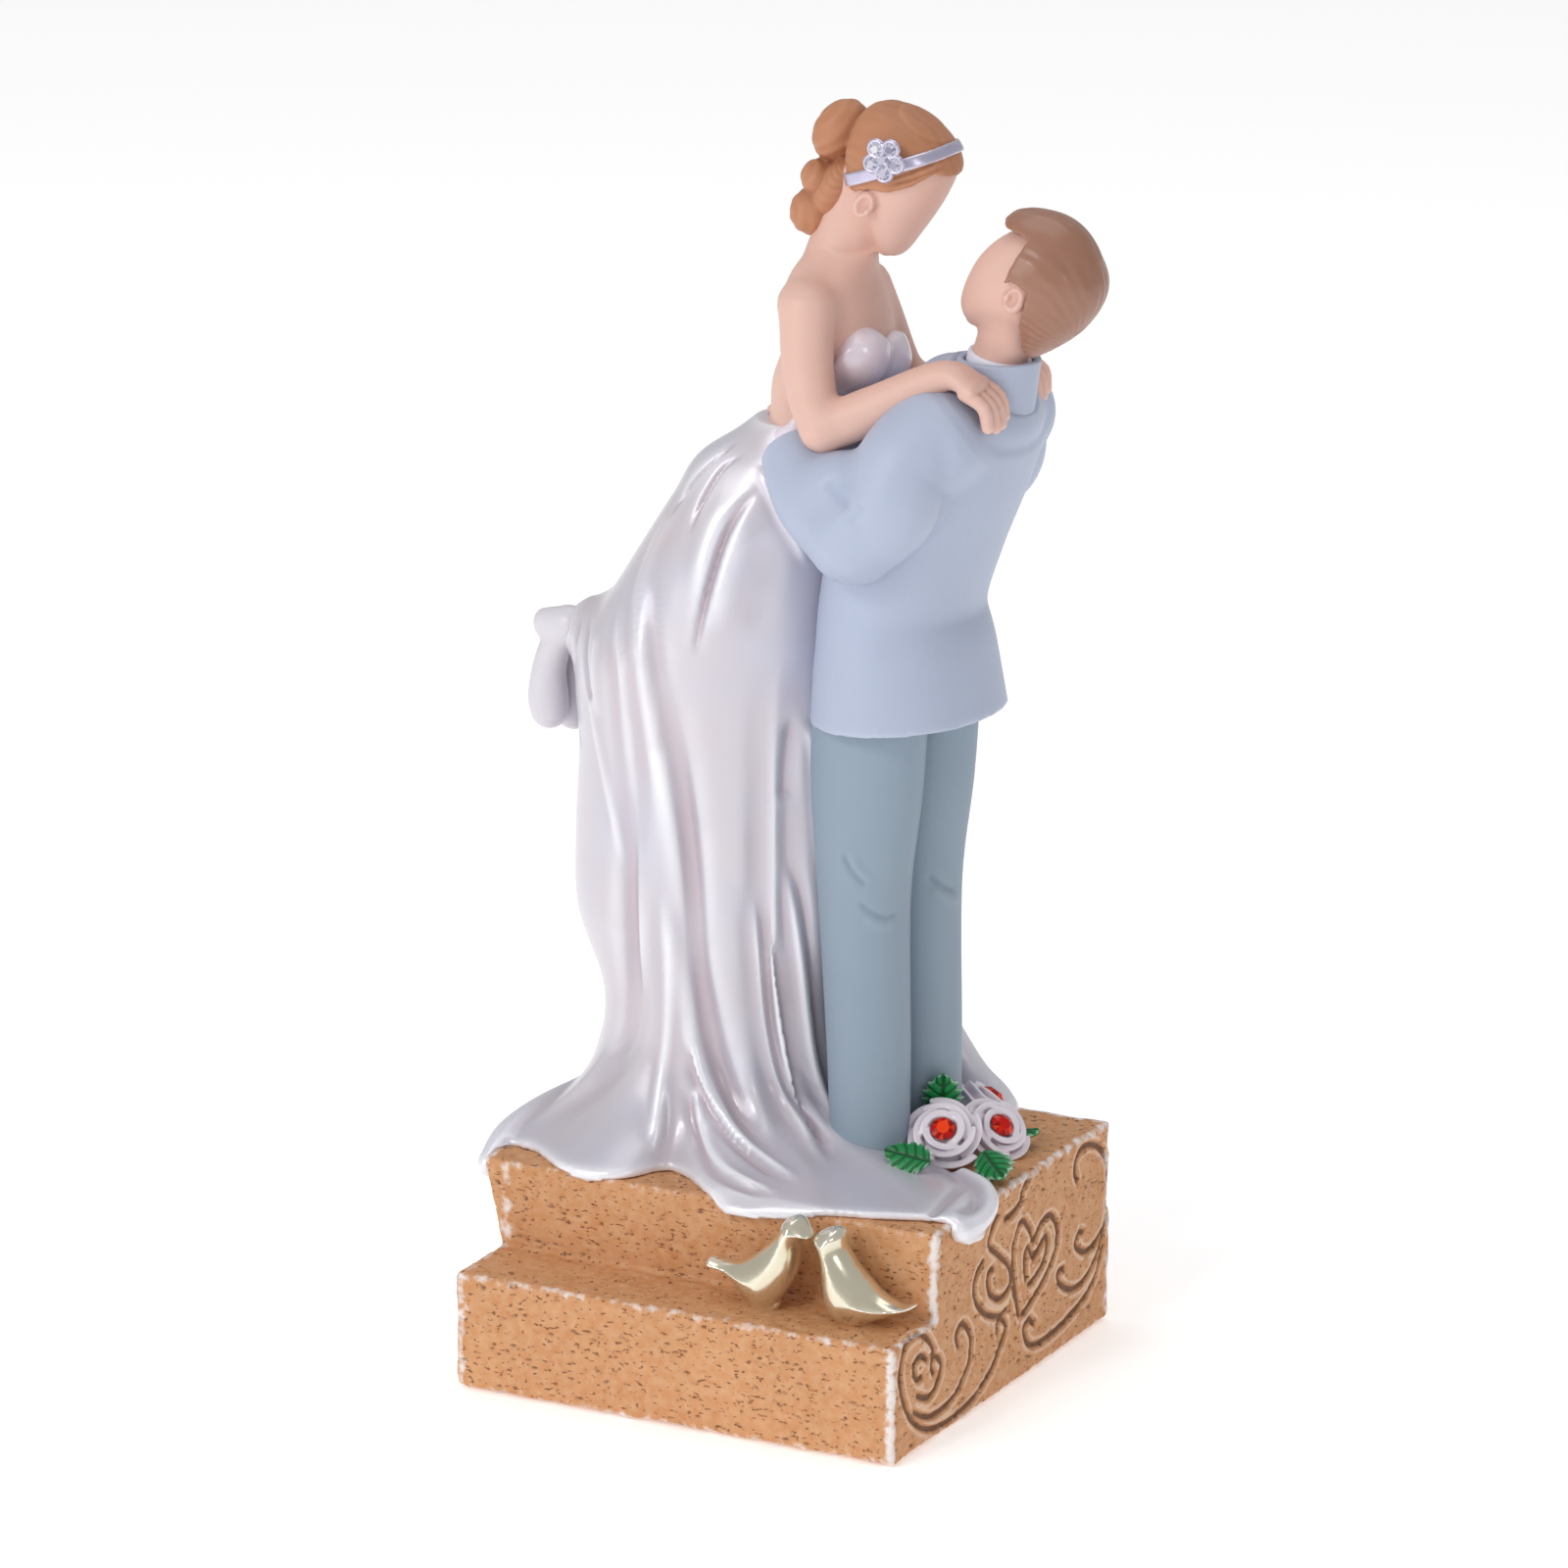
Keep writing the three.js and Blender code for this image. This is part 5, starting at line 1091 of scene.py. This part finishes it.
def groomHead():
    skull, neck = skullSkin(groom), tube(fromStand(groom["neck"]), domes=(0, 0.8))
    box = boxRound([skull, neck], groom["voxel"], 3.5)
    clay = blend(clayFrom(box, skull), clayFrom(box, neck), 1.4)
    points, faces = surfaceOf(box, withEars(groom, box, clay))
    paintedPiece("groom_blank_head", points, faces, skinAcrylic, "skin_paint", ["groom_head"], 0.6)
    # hair: the skull thickened behind a hairline, with a full crown, a quiff and a tapered nape
    size = groom["height"]
    local = inHead(groom, box["places"])
    hair = clayFrom(box, skullSkin(groom, groom["hairDepth"]))
    for middle, halves in (groom["crown"], groom["quiff"]):
        hair = blend(hair, egg(local, np.array(middle) * size, np.array(halves) * size), 1.2)
    points, *faces = tube(np.array(groom["nape"]) * size)
    hair = blend(hair, clayFrom(box, (fromHead(groom, points), *faces)), 1.2)
    edge = outlineClay(local[..., [0, 2]], np.array(groom["hairline"]) * size)
    hair = keep(hair, edge, 0.5)
    points, faces = surfaceOf(box, hair, 4)
    seen = inHead(groom, points)
    angle = np.arctan2(seen[:, 1], seen[:, 2] - 0.35 * size)
    points = combed(points, faces, angle * 0.45 * size, 0.09, 1.3)
    paintedPiece("groom_combed_hair", points, faces, brownAcrylic, "groom_hair_paint", ["groom_hair"])


groomHead()

# groom: shirt collar inside a stand collar
collars = {
    "voxel": 0.15,
    "foot": (24.2, 0, 97.1),
    "top": (25.4, 0, 103.2),
    "thick": 0.8,
    "spare": 1.2,  # over the top, before the slope cuts it
    "bands": [  # piece, node, half width at foot and top, rise over the top, slope, finish and slot
        ("groom_stand_collar", "groom_jacket_collar", (5.4, 5.0), 0.1, (0, 0, 1),
         jacketAcrylic, "jacket_paint"),
        ("groom_shirt_band", "groom_shirt_collar", (4.1, 3.95), 0.5, (0.22, 0, 1),
         shirtAcrylic, "shirt_paint")],
}


def groomCollars():
    foot, top = np.array(collars["foot"]) + stand, np.array(collars["top"]) + stand
    lift = unit(top - foot)
    places = (foot, (foot + top) / 2, top + lift * collars["spare"])
    for name, node, (wide, narrow), rise, slope, material, slot in collars["bands"]:
        halves = np.array((wide, (wide + narrow) / 2, narrow))
        outer, inner = (tube([(*place, half, half) for place, half in zip(places, sizes)], domes=domes)
                        for sizes, domes in ((halves, (0, 0)), (halves - collars["thick"], (2, 2))))
        box = boxRound([outer], collars["voxel"], 1)
        clay = keep(clayFrom(box, outer), -clayFrom(box, inner), 0.35)
        clay = keep(clay, planeClay(box["places"], top + lift * rise, slope), 0.4)
        paintedPiece(name, *surfaceOf(box, clay), material, slot, [node])


groomCollars()

# bride: blank head, neck, shoulders and arms in one casting
fingerPlaces = (-1.5, -0.5, 0.5, 1.5)  # in finger widths from the middle of the hand


def fingersOf(hand, knuckles, tips, box, clay):
    spread = np.array([0, 1.0, 0.12])
    for place in fingerPlaces:
        length = 1 - abs(place) * 0.1
        aside = place * 2 * hand * spread
        root = knuckles + aside + (-0.6, 0, -0.2)
        bend = knuckles + (tips - knuckles) * 0.55 * length + aside + (0.5, 0, 0.6)
        tip = knuckles + (tips - knuckles) * length + aside
        clay = blend(clay, bar(box, throughPoints([root, bend, tip], 7), (hand, hand * 0.85)), 0.3)
    return clay


def brideBody():
    skull, neck = skullSkin(bride), tube(fromStand(bride["neck"]), domes=(0, 0.8))
    torso = tube(fromStand(bride["torso"]), axis=(0, 0, 1), domes=(0, 0), sides=56)
    skins = [skull, neck, torso]
    for upper, fore in zip(bride["upperArms"], bride["forearms"]):
        skins += [tube(fromStand(upper)), tube(fromStand(fore))]
    box = boxRound(skins, bride["voxel"])
    clay = blend(clayFrom(box, skull), clayFrom(box, neck), 1.8)
    body = clayFrom(box, torso)
    for line in (bride["nearShoulder"], bride["farShoulder"]):
        body = blend(body, bar(box, throughPoints(np.array(line) + stand, 12), (2.3, 2.4)), 2.0)
    clay = blend(clay, body, 2.2)
    for k in (0, 1):
        upper, fore = skins[3 + 2 * k:5 + 2 * k]
        arm = blend(clayFrom(box, upper), clayFrom(box, fore), 1.2)
        knuckles, tips = np.array(bride["forearms"][k][-1][:3]), np.array(bride["fingertips"][k])
        arm = fingersOf(bride["finger"], knuckles + stand, tips + stand, box, arm)
        clay = blend(clay, arm, 2.4)
    points, faces = surfaceOf(box, withEars(bride, box, clay))
    paintedPiece("bride_blank_figure", points, faces, skinAcrylic, "skin_paint",
                 ["bride_head", "bride_torso", "bride_right_upper_arm", "bride_left_upper_arm",
                  "bride_right_forearm", "bride_left_forearm"])


brideBody()

# bride: hair, buns and headband
hairStyle = {
    "voxel": 0.17,
    "buns": [  # middle in the head's frame, halves, way that the coil faces, how its turns are spaced
        ((-9.1, 0.9, 6.8), (3.1, 3.7, 4.2), (-0.7, -0.5, 0.5), 2.0),
        ((-7.5, -0.3, 0.8), (2.5, 3.0, 2.3), (-0.7, -0.7, 0.1), 1.8),
        ((-6.0, 0, -3.3), (3.0, 3.4, 3.1), (-0.6, -0.7, -0.3), 1.8)],
    "nape": ((-5.0, 0, 1.2), (2.6, 3.8, 4.4)),
    "strand": 1.2,  # between the combed grooves
    "strandDepth": 0.06,
    "coilDepth": 0.12,
    "fringe": [
        ([(958, 163), (940, 172), (918, 180), (893, 187)], 0.3, 0.2, "groove"),
        ([(966, 170), (948, 178), (928, 185), (904, 190)], 0.3, 0.2, "groove"),
    ],
    "bandTilt": 53,
    "bandPlace": (0.04, 0, 0.66),
    "bandWidth": 1.6,
    "bandThick": 0.6,
    "bandVoxel": 0.13,
}


def brideHair():
    size = bride["height"]
    skull = skullSkin(bride, bride["hairDepth"])
    box = boxRound([skull], hairStyle["voxel"], 7.5)
    local = inHead(bride, box["places"])
    edge = outlineClay(local[..., [0, 2]], np.array(bride["hairline"]) * size)
    hair = keep(clayFrom(box, skull), edge, 0.5)
    hair = blend(hair, egg(local, *hairStyle["nape"]), 0.8)
    for middle, halves, *_ in hairStyle["buns"]:
        hair = blend(hair, egg(local, middle, halves), 0.5)
    points, faces = surfaceOf(box, hair, 3)
    # strands run from the forehead back to the buns, so they are told apart by their angle about that line,
    # and on each bun they coil
    seen = inHead(bride, points)
    phase = np.arctan2(seen[:, 1], seen[:, 2] - 0.3 * size) * 0.42 * size / hairStyle["strand"]
    depth = np.full(len(points), hairStyle["strandDepth"])
    for middle, halves, facing, spacing in hairStyle["buns"]:
        away = seen - middle
        mine = np.linalg.norm(away / halves, axis=1) < 1.12
        out = unit(facing)
        across = unit(np.cross(out, (0, 0, 1)))
        turn = np.arctan2(away @ np.cross(out, across), away @ across)
        polar = np.arccos(np.clip(unit(away) @ out, -1, 1)) * max(halves)
        phase[mine] = (polar / spacing + turn / (2 * np.pi))[mine]
        depth[mine] = hairStyle["coilDepth"]
    points = combed(points, faces, phase, depth, 1.0)
    points = sculpted(points, faces, hairStyle["fringe"])
    paintedPiece("bride_pinned_hair", points, faces, gingerAcrylic, "bride_hair_paint",
                 ["bride_hair", "bride_upper_bun", "bride_lower_bun"], around=8)
    # headband over the hair
    box = boxRound([skull], hairStyle["bandVoxel"], 1.5)
    local = inHead(bride, box["places"])
    tilt = math.radians(hairStyle["bandTilt"])
    across = (local - (np.array(hairStyle["bandPlace"]) * size).astype(np.float32)) @ np.array(
        (-math.sin(tilt), 0, math.cos(tilt)), np.float32)
    shell = keep(clayFrom(box, skullSkin(bride, bride["hairDepth"] + hairStyle["bandThick"])),
                 -clayFrom(box, skullSkin(bride, bride["hairDepth"] - 0.2)), 0.05)
    ribbon = keep(shell, np.abs(across) - hairStyle["bandWidth"] / 2, 0.3)
    paintedPiece("bride_headband", *surfaceOf(box, ribbon), silverPaint, "silver_paint", ["headband"])


brideHair()


stoneCut = {"table": 0.56, "crown": 0.36, "girdle": 0.05, "culet": -0.6}  # shares of the stone's half width


def brilliantCut(name, node, middle, facing, half, material, seed):  # a round stone in flat facets
    out = unit(facing)
    across = unit(np.cross(out, (0.2, 1, 0.1)))
    axes = np.array([across, np.cross(out, across), out]) * half
    turn = np.arange(16) * np.pi / 8
    ring = np.stack([np.cos(turn), np.sin(turn), 0 * turn], -1)
    table = ring[::2] * stoneCut["table"] + (0, 0, stoneCut["crown"])
    girdle, belly = ring + (0, 0, stoneCut["girdle"]), ring - (0, 0, stoneCut["girdle"])
    culet = np.array((0, 0, stoneCut["culet"]))
    facets = [table]
    for k in range(8):
        a, b, c = (2 * k - 1) % 16, 2 * k, 2 * k + 1
        facets += [[table[k], girdle[a], girdle[b]], [table[k], girdle[b], girdle[c]],
                   [table[k], girdle[c], table[(k + 1) % 8]]]
        facets += [[culet, belly[b], belly[a]], [culet, belly[c], belly[b]]]
    facets += [[belly[k], belly[(k + 1) % 16], girdle[(k + 1) % 16], girdle[k]] for k in range(16)]
    points = np.vstack(facets) @ axes + middle
    sizes = [len(facet) for facet in facets]
    ends = np.cumsum(sizes)
    faces = [list(range(end - size, end)) for size, end in zip(sizes, ends)]
    # each facet gets a random share of painted reflection, the highest a painted glint
    paintedReflection = np.repeat(np.random.default_rng(seed).uniform(0, 1, len(facets)), sizes)
    makePiece(name, points, faces, material, [node], {"paintedReflection": paintedReflection}, smooth=False)


# headband flower: five dished petals, a clear stone in each and one in the middle
flower = {"voxel": 0.09, "place": (0, -7.33, 11.55), "petal": 1.25, "ring": 1.62, "stone": 0.86}


def bandFlower():
    middle = np.array(flower["place"])
    petals = [middle + (flower["ring"] * math.cos(a), -0.4, flower["ring"] * math.sin(a))
              for a in np.radians(np.arange(5) * 72 + 18)]
    axes = headAxes(bride)
    origin = np.array(bride["base"]) + stand
    world = middle @ axes + origin
    box = clayBox(world - 4.2, world + 4.2, flower["voxel"])
    local = inHead(bride, box["places"])
    clay = egg(local, middle, (1.2, 1.0, 1.2))
    for petal in petals:
        leaf = egg(local, petal, (flower["petal"], 0.65, flower["petal"]))
        leaf = cutBack(leaf, egg(local, petal - (0, 0.6, 0), (1.02, 0.5, 1.02)), 0.12)
        clay = blend(clay, leaf, 0.12)
    paintedPiece("headband_petals", *surfaceOf(box, clay, 2), silverPaint, "silver_paint",
                 ["headband_flower"])
    for number, place in enumerate([middle - (0, 0.75, 0), *(petal - (0, 0.3, 0) for petal in petals)], 1):
        brilliantCut(f"flower_stone_{number}", f"flower_crystal_{number}", place @ axes + origin, -axes[1],
                     flower["stone"], clearStone, number)


bandFlower()

# gown: bodice with a low back
bodice = {
    "voxel": 0.2,
    "thick": 0.8,
    "edge": [(-30, 80), (40, 80), (40, 104), (9, 103.2), (6, 100.3), (3, 97), (0, 93.6), (-3, 92), (-30, 91)],
    "cups": [((8.4, -3.7, 102.2), (3.5, 3.6, 3.9)), ((8.9, 2.3, 100.8), (3.1, 3.2, 3.3))],
}


def gownBodice():
    rows = np.array(bride["torso"][:5])
    rows[:, 3:] += bodice["thick"]
    torso = tube(fromStand(rows), axis=(0, 0, 1), domes=(0, 0), sides=56)
    box = boxRound([torso], bodice["voxel"], 4)
    edge = outlineClay((box["places"] - stand.astype(np.float32))[..., [0, 2]], bodice["edge"])
    clay = keep(clayFrom(box, torso), edge, 0.7)
    cups = [egg(box["places"], np.array(middle) + stand, halves) for middle, halves in bodice["cups"]]
    clay = blend(clay, blend(*cups, 0.9), 2.6)
    paintedPiece("gown_pearl_bodice", *surfaceOf(box, clay, 4), bodicePearl, "gown_pearl", ["gown_bodice"])


gownBodice()

# groom's hands on the bride's back
hands = {
    "voxel": 0.16,
    "wrist": (2.4, -8.0, 91.2),
    "palm": (-2.9, -4.8, 93),
    "tips": (-5.3, 1.0, 93.6),
    "drops": {"left": (0.8, -1), "right": (4.4, 1)},  # how far palm and fingers hang down, and the side
    "palmHalf": (1.3, 1.2),
    "fingerHalf": (0.8, 0.65),
    "fingerGap": 1.55,
}


def groomHands():
    wrist = np.array(hands["wrist"])
    for side, (drop, flip) in hands["drops"].items():
        turn = np.array([1, flip, 1])
        palm, tips = (np.array(hands[part]) - (0, 0, drop) for part in ("palm", "tips"))
        low, high = np.minimum(palm, tips) * turn + stand, np.maximum(palm, tips) * turn + stand
        box = clayBox(low - 9, high + 9, hands["voxel"])
        arch = throughPoints([wrist, (wrist + palm) / 2, palm, palm + (tips - palm) * 0.35], 12) * turn
        clay = bar(box, arch + stand, hands["palmHalf"])
        for place in fingerPlaces:
            lift = np.array([0, 0, place * hands["fingerGap"]])
            bend = palm + (tips - palm) * 0.5 + lift + (-0.7, -0.4, 0)
            tip = palm + (tips - palm) * (1 - 0.1 * abs(place)) + lift
            finger = throughPoints([palm + lift * 0.8, bend, tip], 8) * turn
            clay = blend(clay, bar(box, finger + stand, hands["fingerHalf"]), 0.4)
        paintedPiece(f"groom_{side}_clasp", *surfaceOf(box, clay), skinAcrylic, "skin_paint",
                     [f"groom_{side}_hand"])


groomHands()

# bride's shoes, hanging from the drape
shoes = {
    "voxel": 0.16,
    "heel": {"right": (-35.6, -2.34, 63.8), "left": (-34.64, 2.34, 62.6)},
    "foot": [(3, 0, 0, 2, 2), (0.9, 0, -3.1, 2, 2), (-0.2, 0, -6.6, 2.2, 2.2), (-0.4, 0, -10.1, 2.5, 2.6),
             (-0.2, 0, -12.1, 2.35, 2.45)],
    "post": [(3, 0, -0.6, 2.1, 2.2), (1, 0, -0.6, 2, 2.1), (-0.8, 0, -0.8, 1.8, 1.9)],
}


def brideShoes():
    for side, heel in shoes["heel"].items():
        lift = np.append(np.array(heel) + stand, (0, 0))
        foot = tube(np.array(shoes["foot"]) + lift, domes=(0.8, 0.95))
        post = tube(np.array(shoes["post"]) + lift, domes=(0.8, 0.75))
        box = boxRound([foot, post], shoes["voxel"])
        clay = blend(clayFrom(box, foot), clayFrom(box, post), 0.9)
        paintedPiece(f"bride_{side}_pump", *surfaceOf(box, clay), shoeSatin, "shoe_pearl",
                     [f"bride_{side}_shoe"])


brideShoes()

# two birds on the step, beak to beak: outlines along x and above the tread, swelled to a body
birds = {
    "voxel": 0.15,
    "y": -23.2,
    "half": 3.3,
    "swell": 3.6,  # how far in from the outline the body is at its thickest
    "left": [(1.3, 4.9), (2, 5.5), (3.7, 5.3), (5.8, 5.5), (7.8, 6.7), (9.8, 8.4), (11.2, 10.1),
             (12.2, 11.8), (13.6, 12.5), (14.7, 11.8), (15.9, 10), (14.8, 9.6), (14.1, 8.6), (13.9, 6.8),
             (13.4, 4.6), (11.9, 1.9), (10.2, 0.5), (8.3, 0.5), (6.6, 1.4), (5.2, 2.8), (4, 3.7), (2, 4)],
    "right": [(16.1, 10.1), (16.8, 11), (18, 11.7), (19.2, 11.9), (20.1, 11.1), (20.5, 9.3), (22, 7.2),
              (23.5, 5.8), (24.9, 4.6), (26.3, 3.8), (28, 3.4), (29.9, 3.7), (29.2, 2.8), (27.2, 1.9),
              (25, 0.9), (22.6, 0.2), (20.2, 0), (18.6, 0.7), (17.6, 2.2), (17.2, 4), (17.1, 6.1),
              (16.9, 8)],
    "feet": {"left": (9.2, 2.0), "right": (21.4, 2.2)},
}


def twoBirds():
    for side in ("left", "right"):
        outline = np.array(birds[side])
        outline = throughPoints(np.vstack([outline, outline[:1]]), 110)[:-1]
        low, high = outline.min(0), outline.max(0)
        box = clayBox((low[0] - 1.5, birds["y"] - 4.5, plinth["tread"] - 1),
                      (high[0] + 1.5, birds["y"] + 4.5, plinth["tread"] + high[1] + 1.5), birds["voxel"])
        places = box["places"]
        flat = places[..., [0, 2]] - np.array((0, plinth["tread"]), np.float32)
        edge = outlineClay(flat, outline)
        inset = np.clip(-edge / birds["swell"], 0, 1)
        fullness = np.sqrt(inset * (2 - inset))  # a full, rounded body
        clay = keep(edge, 0.75 * (np.abs(places[..., 1] - birds["y"]) - birds["half"] * fullness), 0.5)
        x, half = birds["feet"][side]
        clay = blend(clay, egg(places, (x, birds["y"], plinth["tread"] + 0.5), (half, half * 0.8, 1.2)), 1.2)
        clay = keep(clay, planeClay(places, (0, 0, plinth["tread"] - 0.15), (0, 0, -1)), 0.1)
        paintedPiece(f"gold_{side}_bird", *surfaceOf(box, clay, 8), goldPaint, "gold_paint", [f"{side}_bird"],
                     0.6, 40)


twoBirds()

# roses by the groom's feet: rings of lipped petals, with a red stone at each heart
rose = {
    "voxel": 0.12,
    "height": 4.8,
    "thick": 0.75,
    "places": [  # place, lean, turn and size of each
        ((19.6, -2.4, 0.9), (0.35, -0.75, 0.75), 0.2, 0.97), ((23.2, 4.4, 0), (0.75, -0.35, 0.75), 1.1, 0.92),
        ((17.9, 12, 0), (0.5, 0.5, 0.9), 2.3, 0.95)],
    "rings": [  # radius, height of the lip, petals, turned by
        (2.0, 2.75, 3, 0.4), (3.05, 2.2, 3, 1.4), (4.1, 1.1, 5, 0.3)],
    "stone": 1.5,
}


def flowerOf(number, at, lean, turned, size):
    out = unit(lean)
    across = unit(np.cross((0, 1, 0), out))
    axes = np.array([across, np.cross(out, across), out])
    middle = np.array(at) + stand + (0, 0, 0.3 + 0.6 * size * rose["height"])
    box = clayBox(middle - 6, middle + 6, rose["voxel"])
    local = (box["places"] - middle.astype(np.float32)) @ (axes.T / size).astype(np.float32)
    a, b, w = np.moveaxis(local, -1, 0)
    reach, angle = np.hypot(a, b), np.arctan2(b, a)
    clay = egg(local, (0, 0, -0.7), (3.7, 3.7, 2.1))
    for radius, lip, count, start in rose["rings"]:
        for k in range(count):
            span = np.pi / count * 1.28
            aside = (angle - start - turned - 2 * np.pi * k / count + np.pi) % (2 * np.pi) - np.pi
            share = aside / span
            rim = lip - 0.5 * share**2
            below = np.maximum(rim - w, 0)
            curl = np.exp(-((below / 0.6) ** 2))  # the lip turns out and thickens
            cup = radius * (1 + 0.13 * share) * (1 - 0.05 * below**1.5 / 2) + 0.35 * curl
            thick = rose["thick"] + 0.3 * curl
            petal = keep(np.abs(reach - cup) - thick / 2, w - rim, 0.35)
            petal = keep(petal, (np.abs(aside) - span) * radius, 0.3)
            petal = keep(petal, -w - 2.0, 0.2)
            clay = blend(clay, petal, 0.2)
    clay = keep(clay * size, planeClay(box["places"], stand + (0, 0, 0.1), (0, 0, -1)), 0.1)
    paintedPiece(f"pearl_rose_{number}", *surfaceOf(box, clay, 2), rosePearl, "rose_pearl",
                 [f"rose_{number}"], 0.45, 10)
    heart = middle + out * size * (0.5 * rose["height"] + 0.2)
    brilliantCut(f"ruby_stone_{number}", f"rose_gem_{number}", heart, out, rose["stone"], rubyStone,
                 40 + number)


for number, placing in enumerate(rose["places"], 1):
    flowerOf(number, *placing)

# leaves: toothed, veined blades round the roses
leaf = {
    "length": 6.4,
    "half": 2.4,
    "thick": 0.75,
    "teeth": 5,
    "places": [  # root, heading, rise and roll
        ((22, -10.8, 3.6), 178, 4, -38), ((25.2, -2.6, 2.9), -40, -13, 22), ((20.8, 8, 1.3), 20, 6, 0),
        ((17.4, 1.6, 5.1), 120, 105, 0), ((18.5, 15.2, 1.3), 150, 0, 0)],
}


def leafBlade(number, at, heading, rise, roll):
    along = np.linspace(0.01, 0.99, 64)[:, None]
    side = np.concatenate([np.linspace(-1, 1, 25), np.linspace(1, -1, 25)[1:-1]])[None, :]
    upper = np.concatenate([np.ones(25), -np.ones(23)])[None, :]
    tooth = (along * leaf["teeth"]) % 1 - 0.5
    wide = leaf["half"] * np.sin(np.pi * along**0.9) ** 0.75 * (1 + 0.4 * tooth * np.abs(side) ** 3)
    y = side * wide
    midrib = np.exp(-((y / 0.22) ** 2))
    vein = np.exp(-((((along * leaf["teeth"] - 1.1 * np.abs(side)) % 1 - 0.5) / 0.16) ** 2)) * (1 - midrib)
    edge = (1 - np.abs(side) ** 6) ** 0.5
    relief = -0.26 * midrib - 0.16 * vein
    z = upper * leaf["thick"] / 2 * edge + np.where(upper > 0, relief * edge, 0)
    z = z - 0.14 * np.abs(y) ** 1.5 + 0.5 * (along - 0.4) ** 2  # droops to its sides, rises to its ends
    x = along * leaf["length"] + 0 * y
    lift, turn, roll = math.radians(rise), math.radians(heading), math.radians(roll)
    forward = np.array([math.cos(turn) * math.cos(lift), math.sin(turn) * math.cos(lift), math.sin(lift)])
    level = np.array([-math.sin(turn), math.cos(turn), 0])
    left = level * math.cos(roll) + np.cross(forward, level) * math.sin(roll)
    axes = np.array([forward, left, np.cross(forward, left)])
    rings = np.stack([x, y, z], -1) @ axes + np.array(at) + stand
    points, quads, ends = skinOf(rings)
    # the veins and the underside read as sunk and take painted shade; the very edges read as proud and take a
    # painted highlight
    proud = np.where(upper > 0, relief + 0.16 * np.abs(side) ** 10, -0.04)
    marks = np.append(proud.ravel(), (0, 0))
    makePiece(f"green_leaf_{number}", points, [*quads, *ends], leafEnamel, [f"leaf_{number}"],
              {"proud": marks})


for number, placing in enumerate(leaf["places"], 1):
    leafBlade(number, *placing)

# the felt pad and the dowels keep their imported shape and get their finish
carriedOver = {"felt_pad": woolFelt, "groom_left_leg_dowel": dowelSteel, "groom_right_leg_dowel": dowelSteel,
               "gown_dowel": dowelSteel}
for node, material in carriedOver.items():
    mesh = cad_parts[node].data
    mesh.materials.clear()
    mesh.materials.append(material)

# pale floor and soft studio light
studio = {
    "floor": "#FFFFFF",
    "glow": 0.34,  # of the lit table
    "tableHalf": 6.0,  # metres
    "aim": (0, 0, 80),
    "world": 0.46,
    "lamps": [  # name, place, size, power in watts
        ("keySoftbox", (-450, -950, 520), 700, 3.6),
        ("stripSoftbox", (-120, -900, 760), 170, 1.5),
        ("rightSoftbox", (900, -500, 500), 220, 0.7),
        ("topSoftbox", (0, 200, 1200), 900, 3.1),
    ],
}


def paleFloor():
    # opal acrylic table lit from below: even white, soft pale shadows, a hint of tooth
    material, tree, surface, where = newFinish("floorOpalAcrylic", {
        "Base Color": hexColour(studio["floor"]), "Roughness": 0.9, "Specular IOR Level": 0.1,
        "Emission Color": hexColour(studio["floor"]), "Emission Strength": studio["glow"]})
    tooth = addNode(tree, "ShaderNodeTexNoise", {"Scale": perSize(2)}, {"Vector": where})
    bump = addNode(tree, "ShaderNodeBump", {"Strength": 0.02, "Distance": 0.05 * metre},
                   {"Height": tooth.outputs["Fac"]})
    tree.links.new(bump.outputs[0], surface.inputs["Normal"])
    mesh = bpy.data.meshes.new("floorCard")
    corners = [(-1, -1, 0), (1, -1, 0), (1, 1, 0), (-1, 1, 0)]
    mesh.from_pydata((np.array(corners) * studio["tableHalf"]).tolist(), [], [(0, 1, 2, 3)])
    mesh.materials.append(material)
    floor = bpy.data.objects.new("floorCard", mesh)
    scene.collection.objects.link(floor)


paleFloor()
world = bpy.data.worlds.new("studioRoom")
scene.world = world
world.use_nodes = True
room = world.node_tree.nodes["Background"]
room.inputs["Color"].default_value = (1, 1, 1, 1)
room.inputs["Strength"].default_value = studio["world"]
for name, place, size, power in studio["lamps"]:
    lampData = bpy.data.lights.new(name, "AREA")
    lampData.size = size * metre
    lampData.energy = power
    lamp = bpy.data.objects.new(name, lampData)
    lamp.location = np.array(place) * metre
    lamp.rotation_euler = (Vector(studio["aim"]) - Vector(place)).to_track_quat("-Z", "Y").to_euler()
    scene.collection.objects.link(lamp)
scene.view_settings.view_transform = "Standard"
print("studio lit")
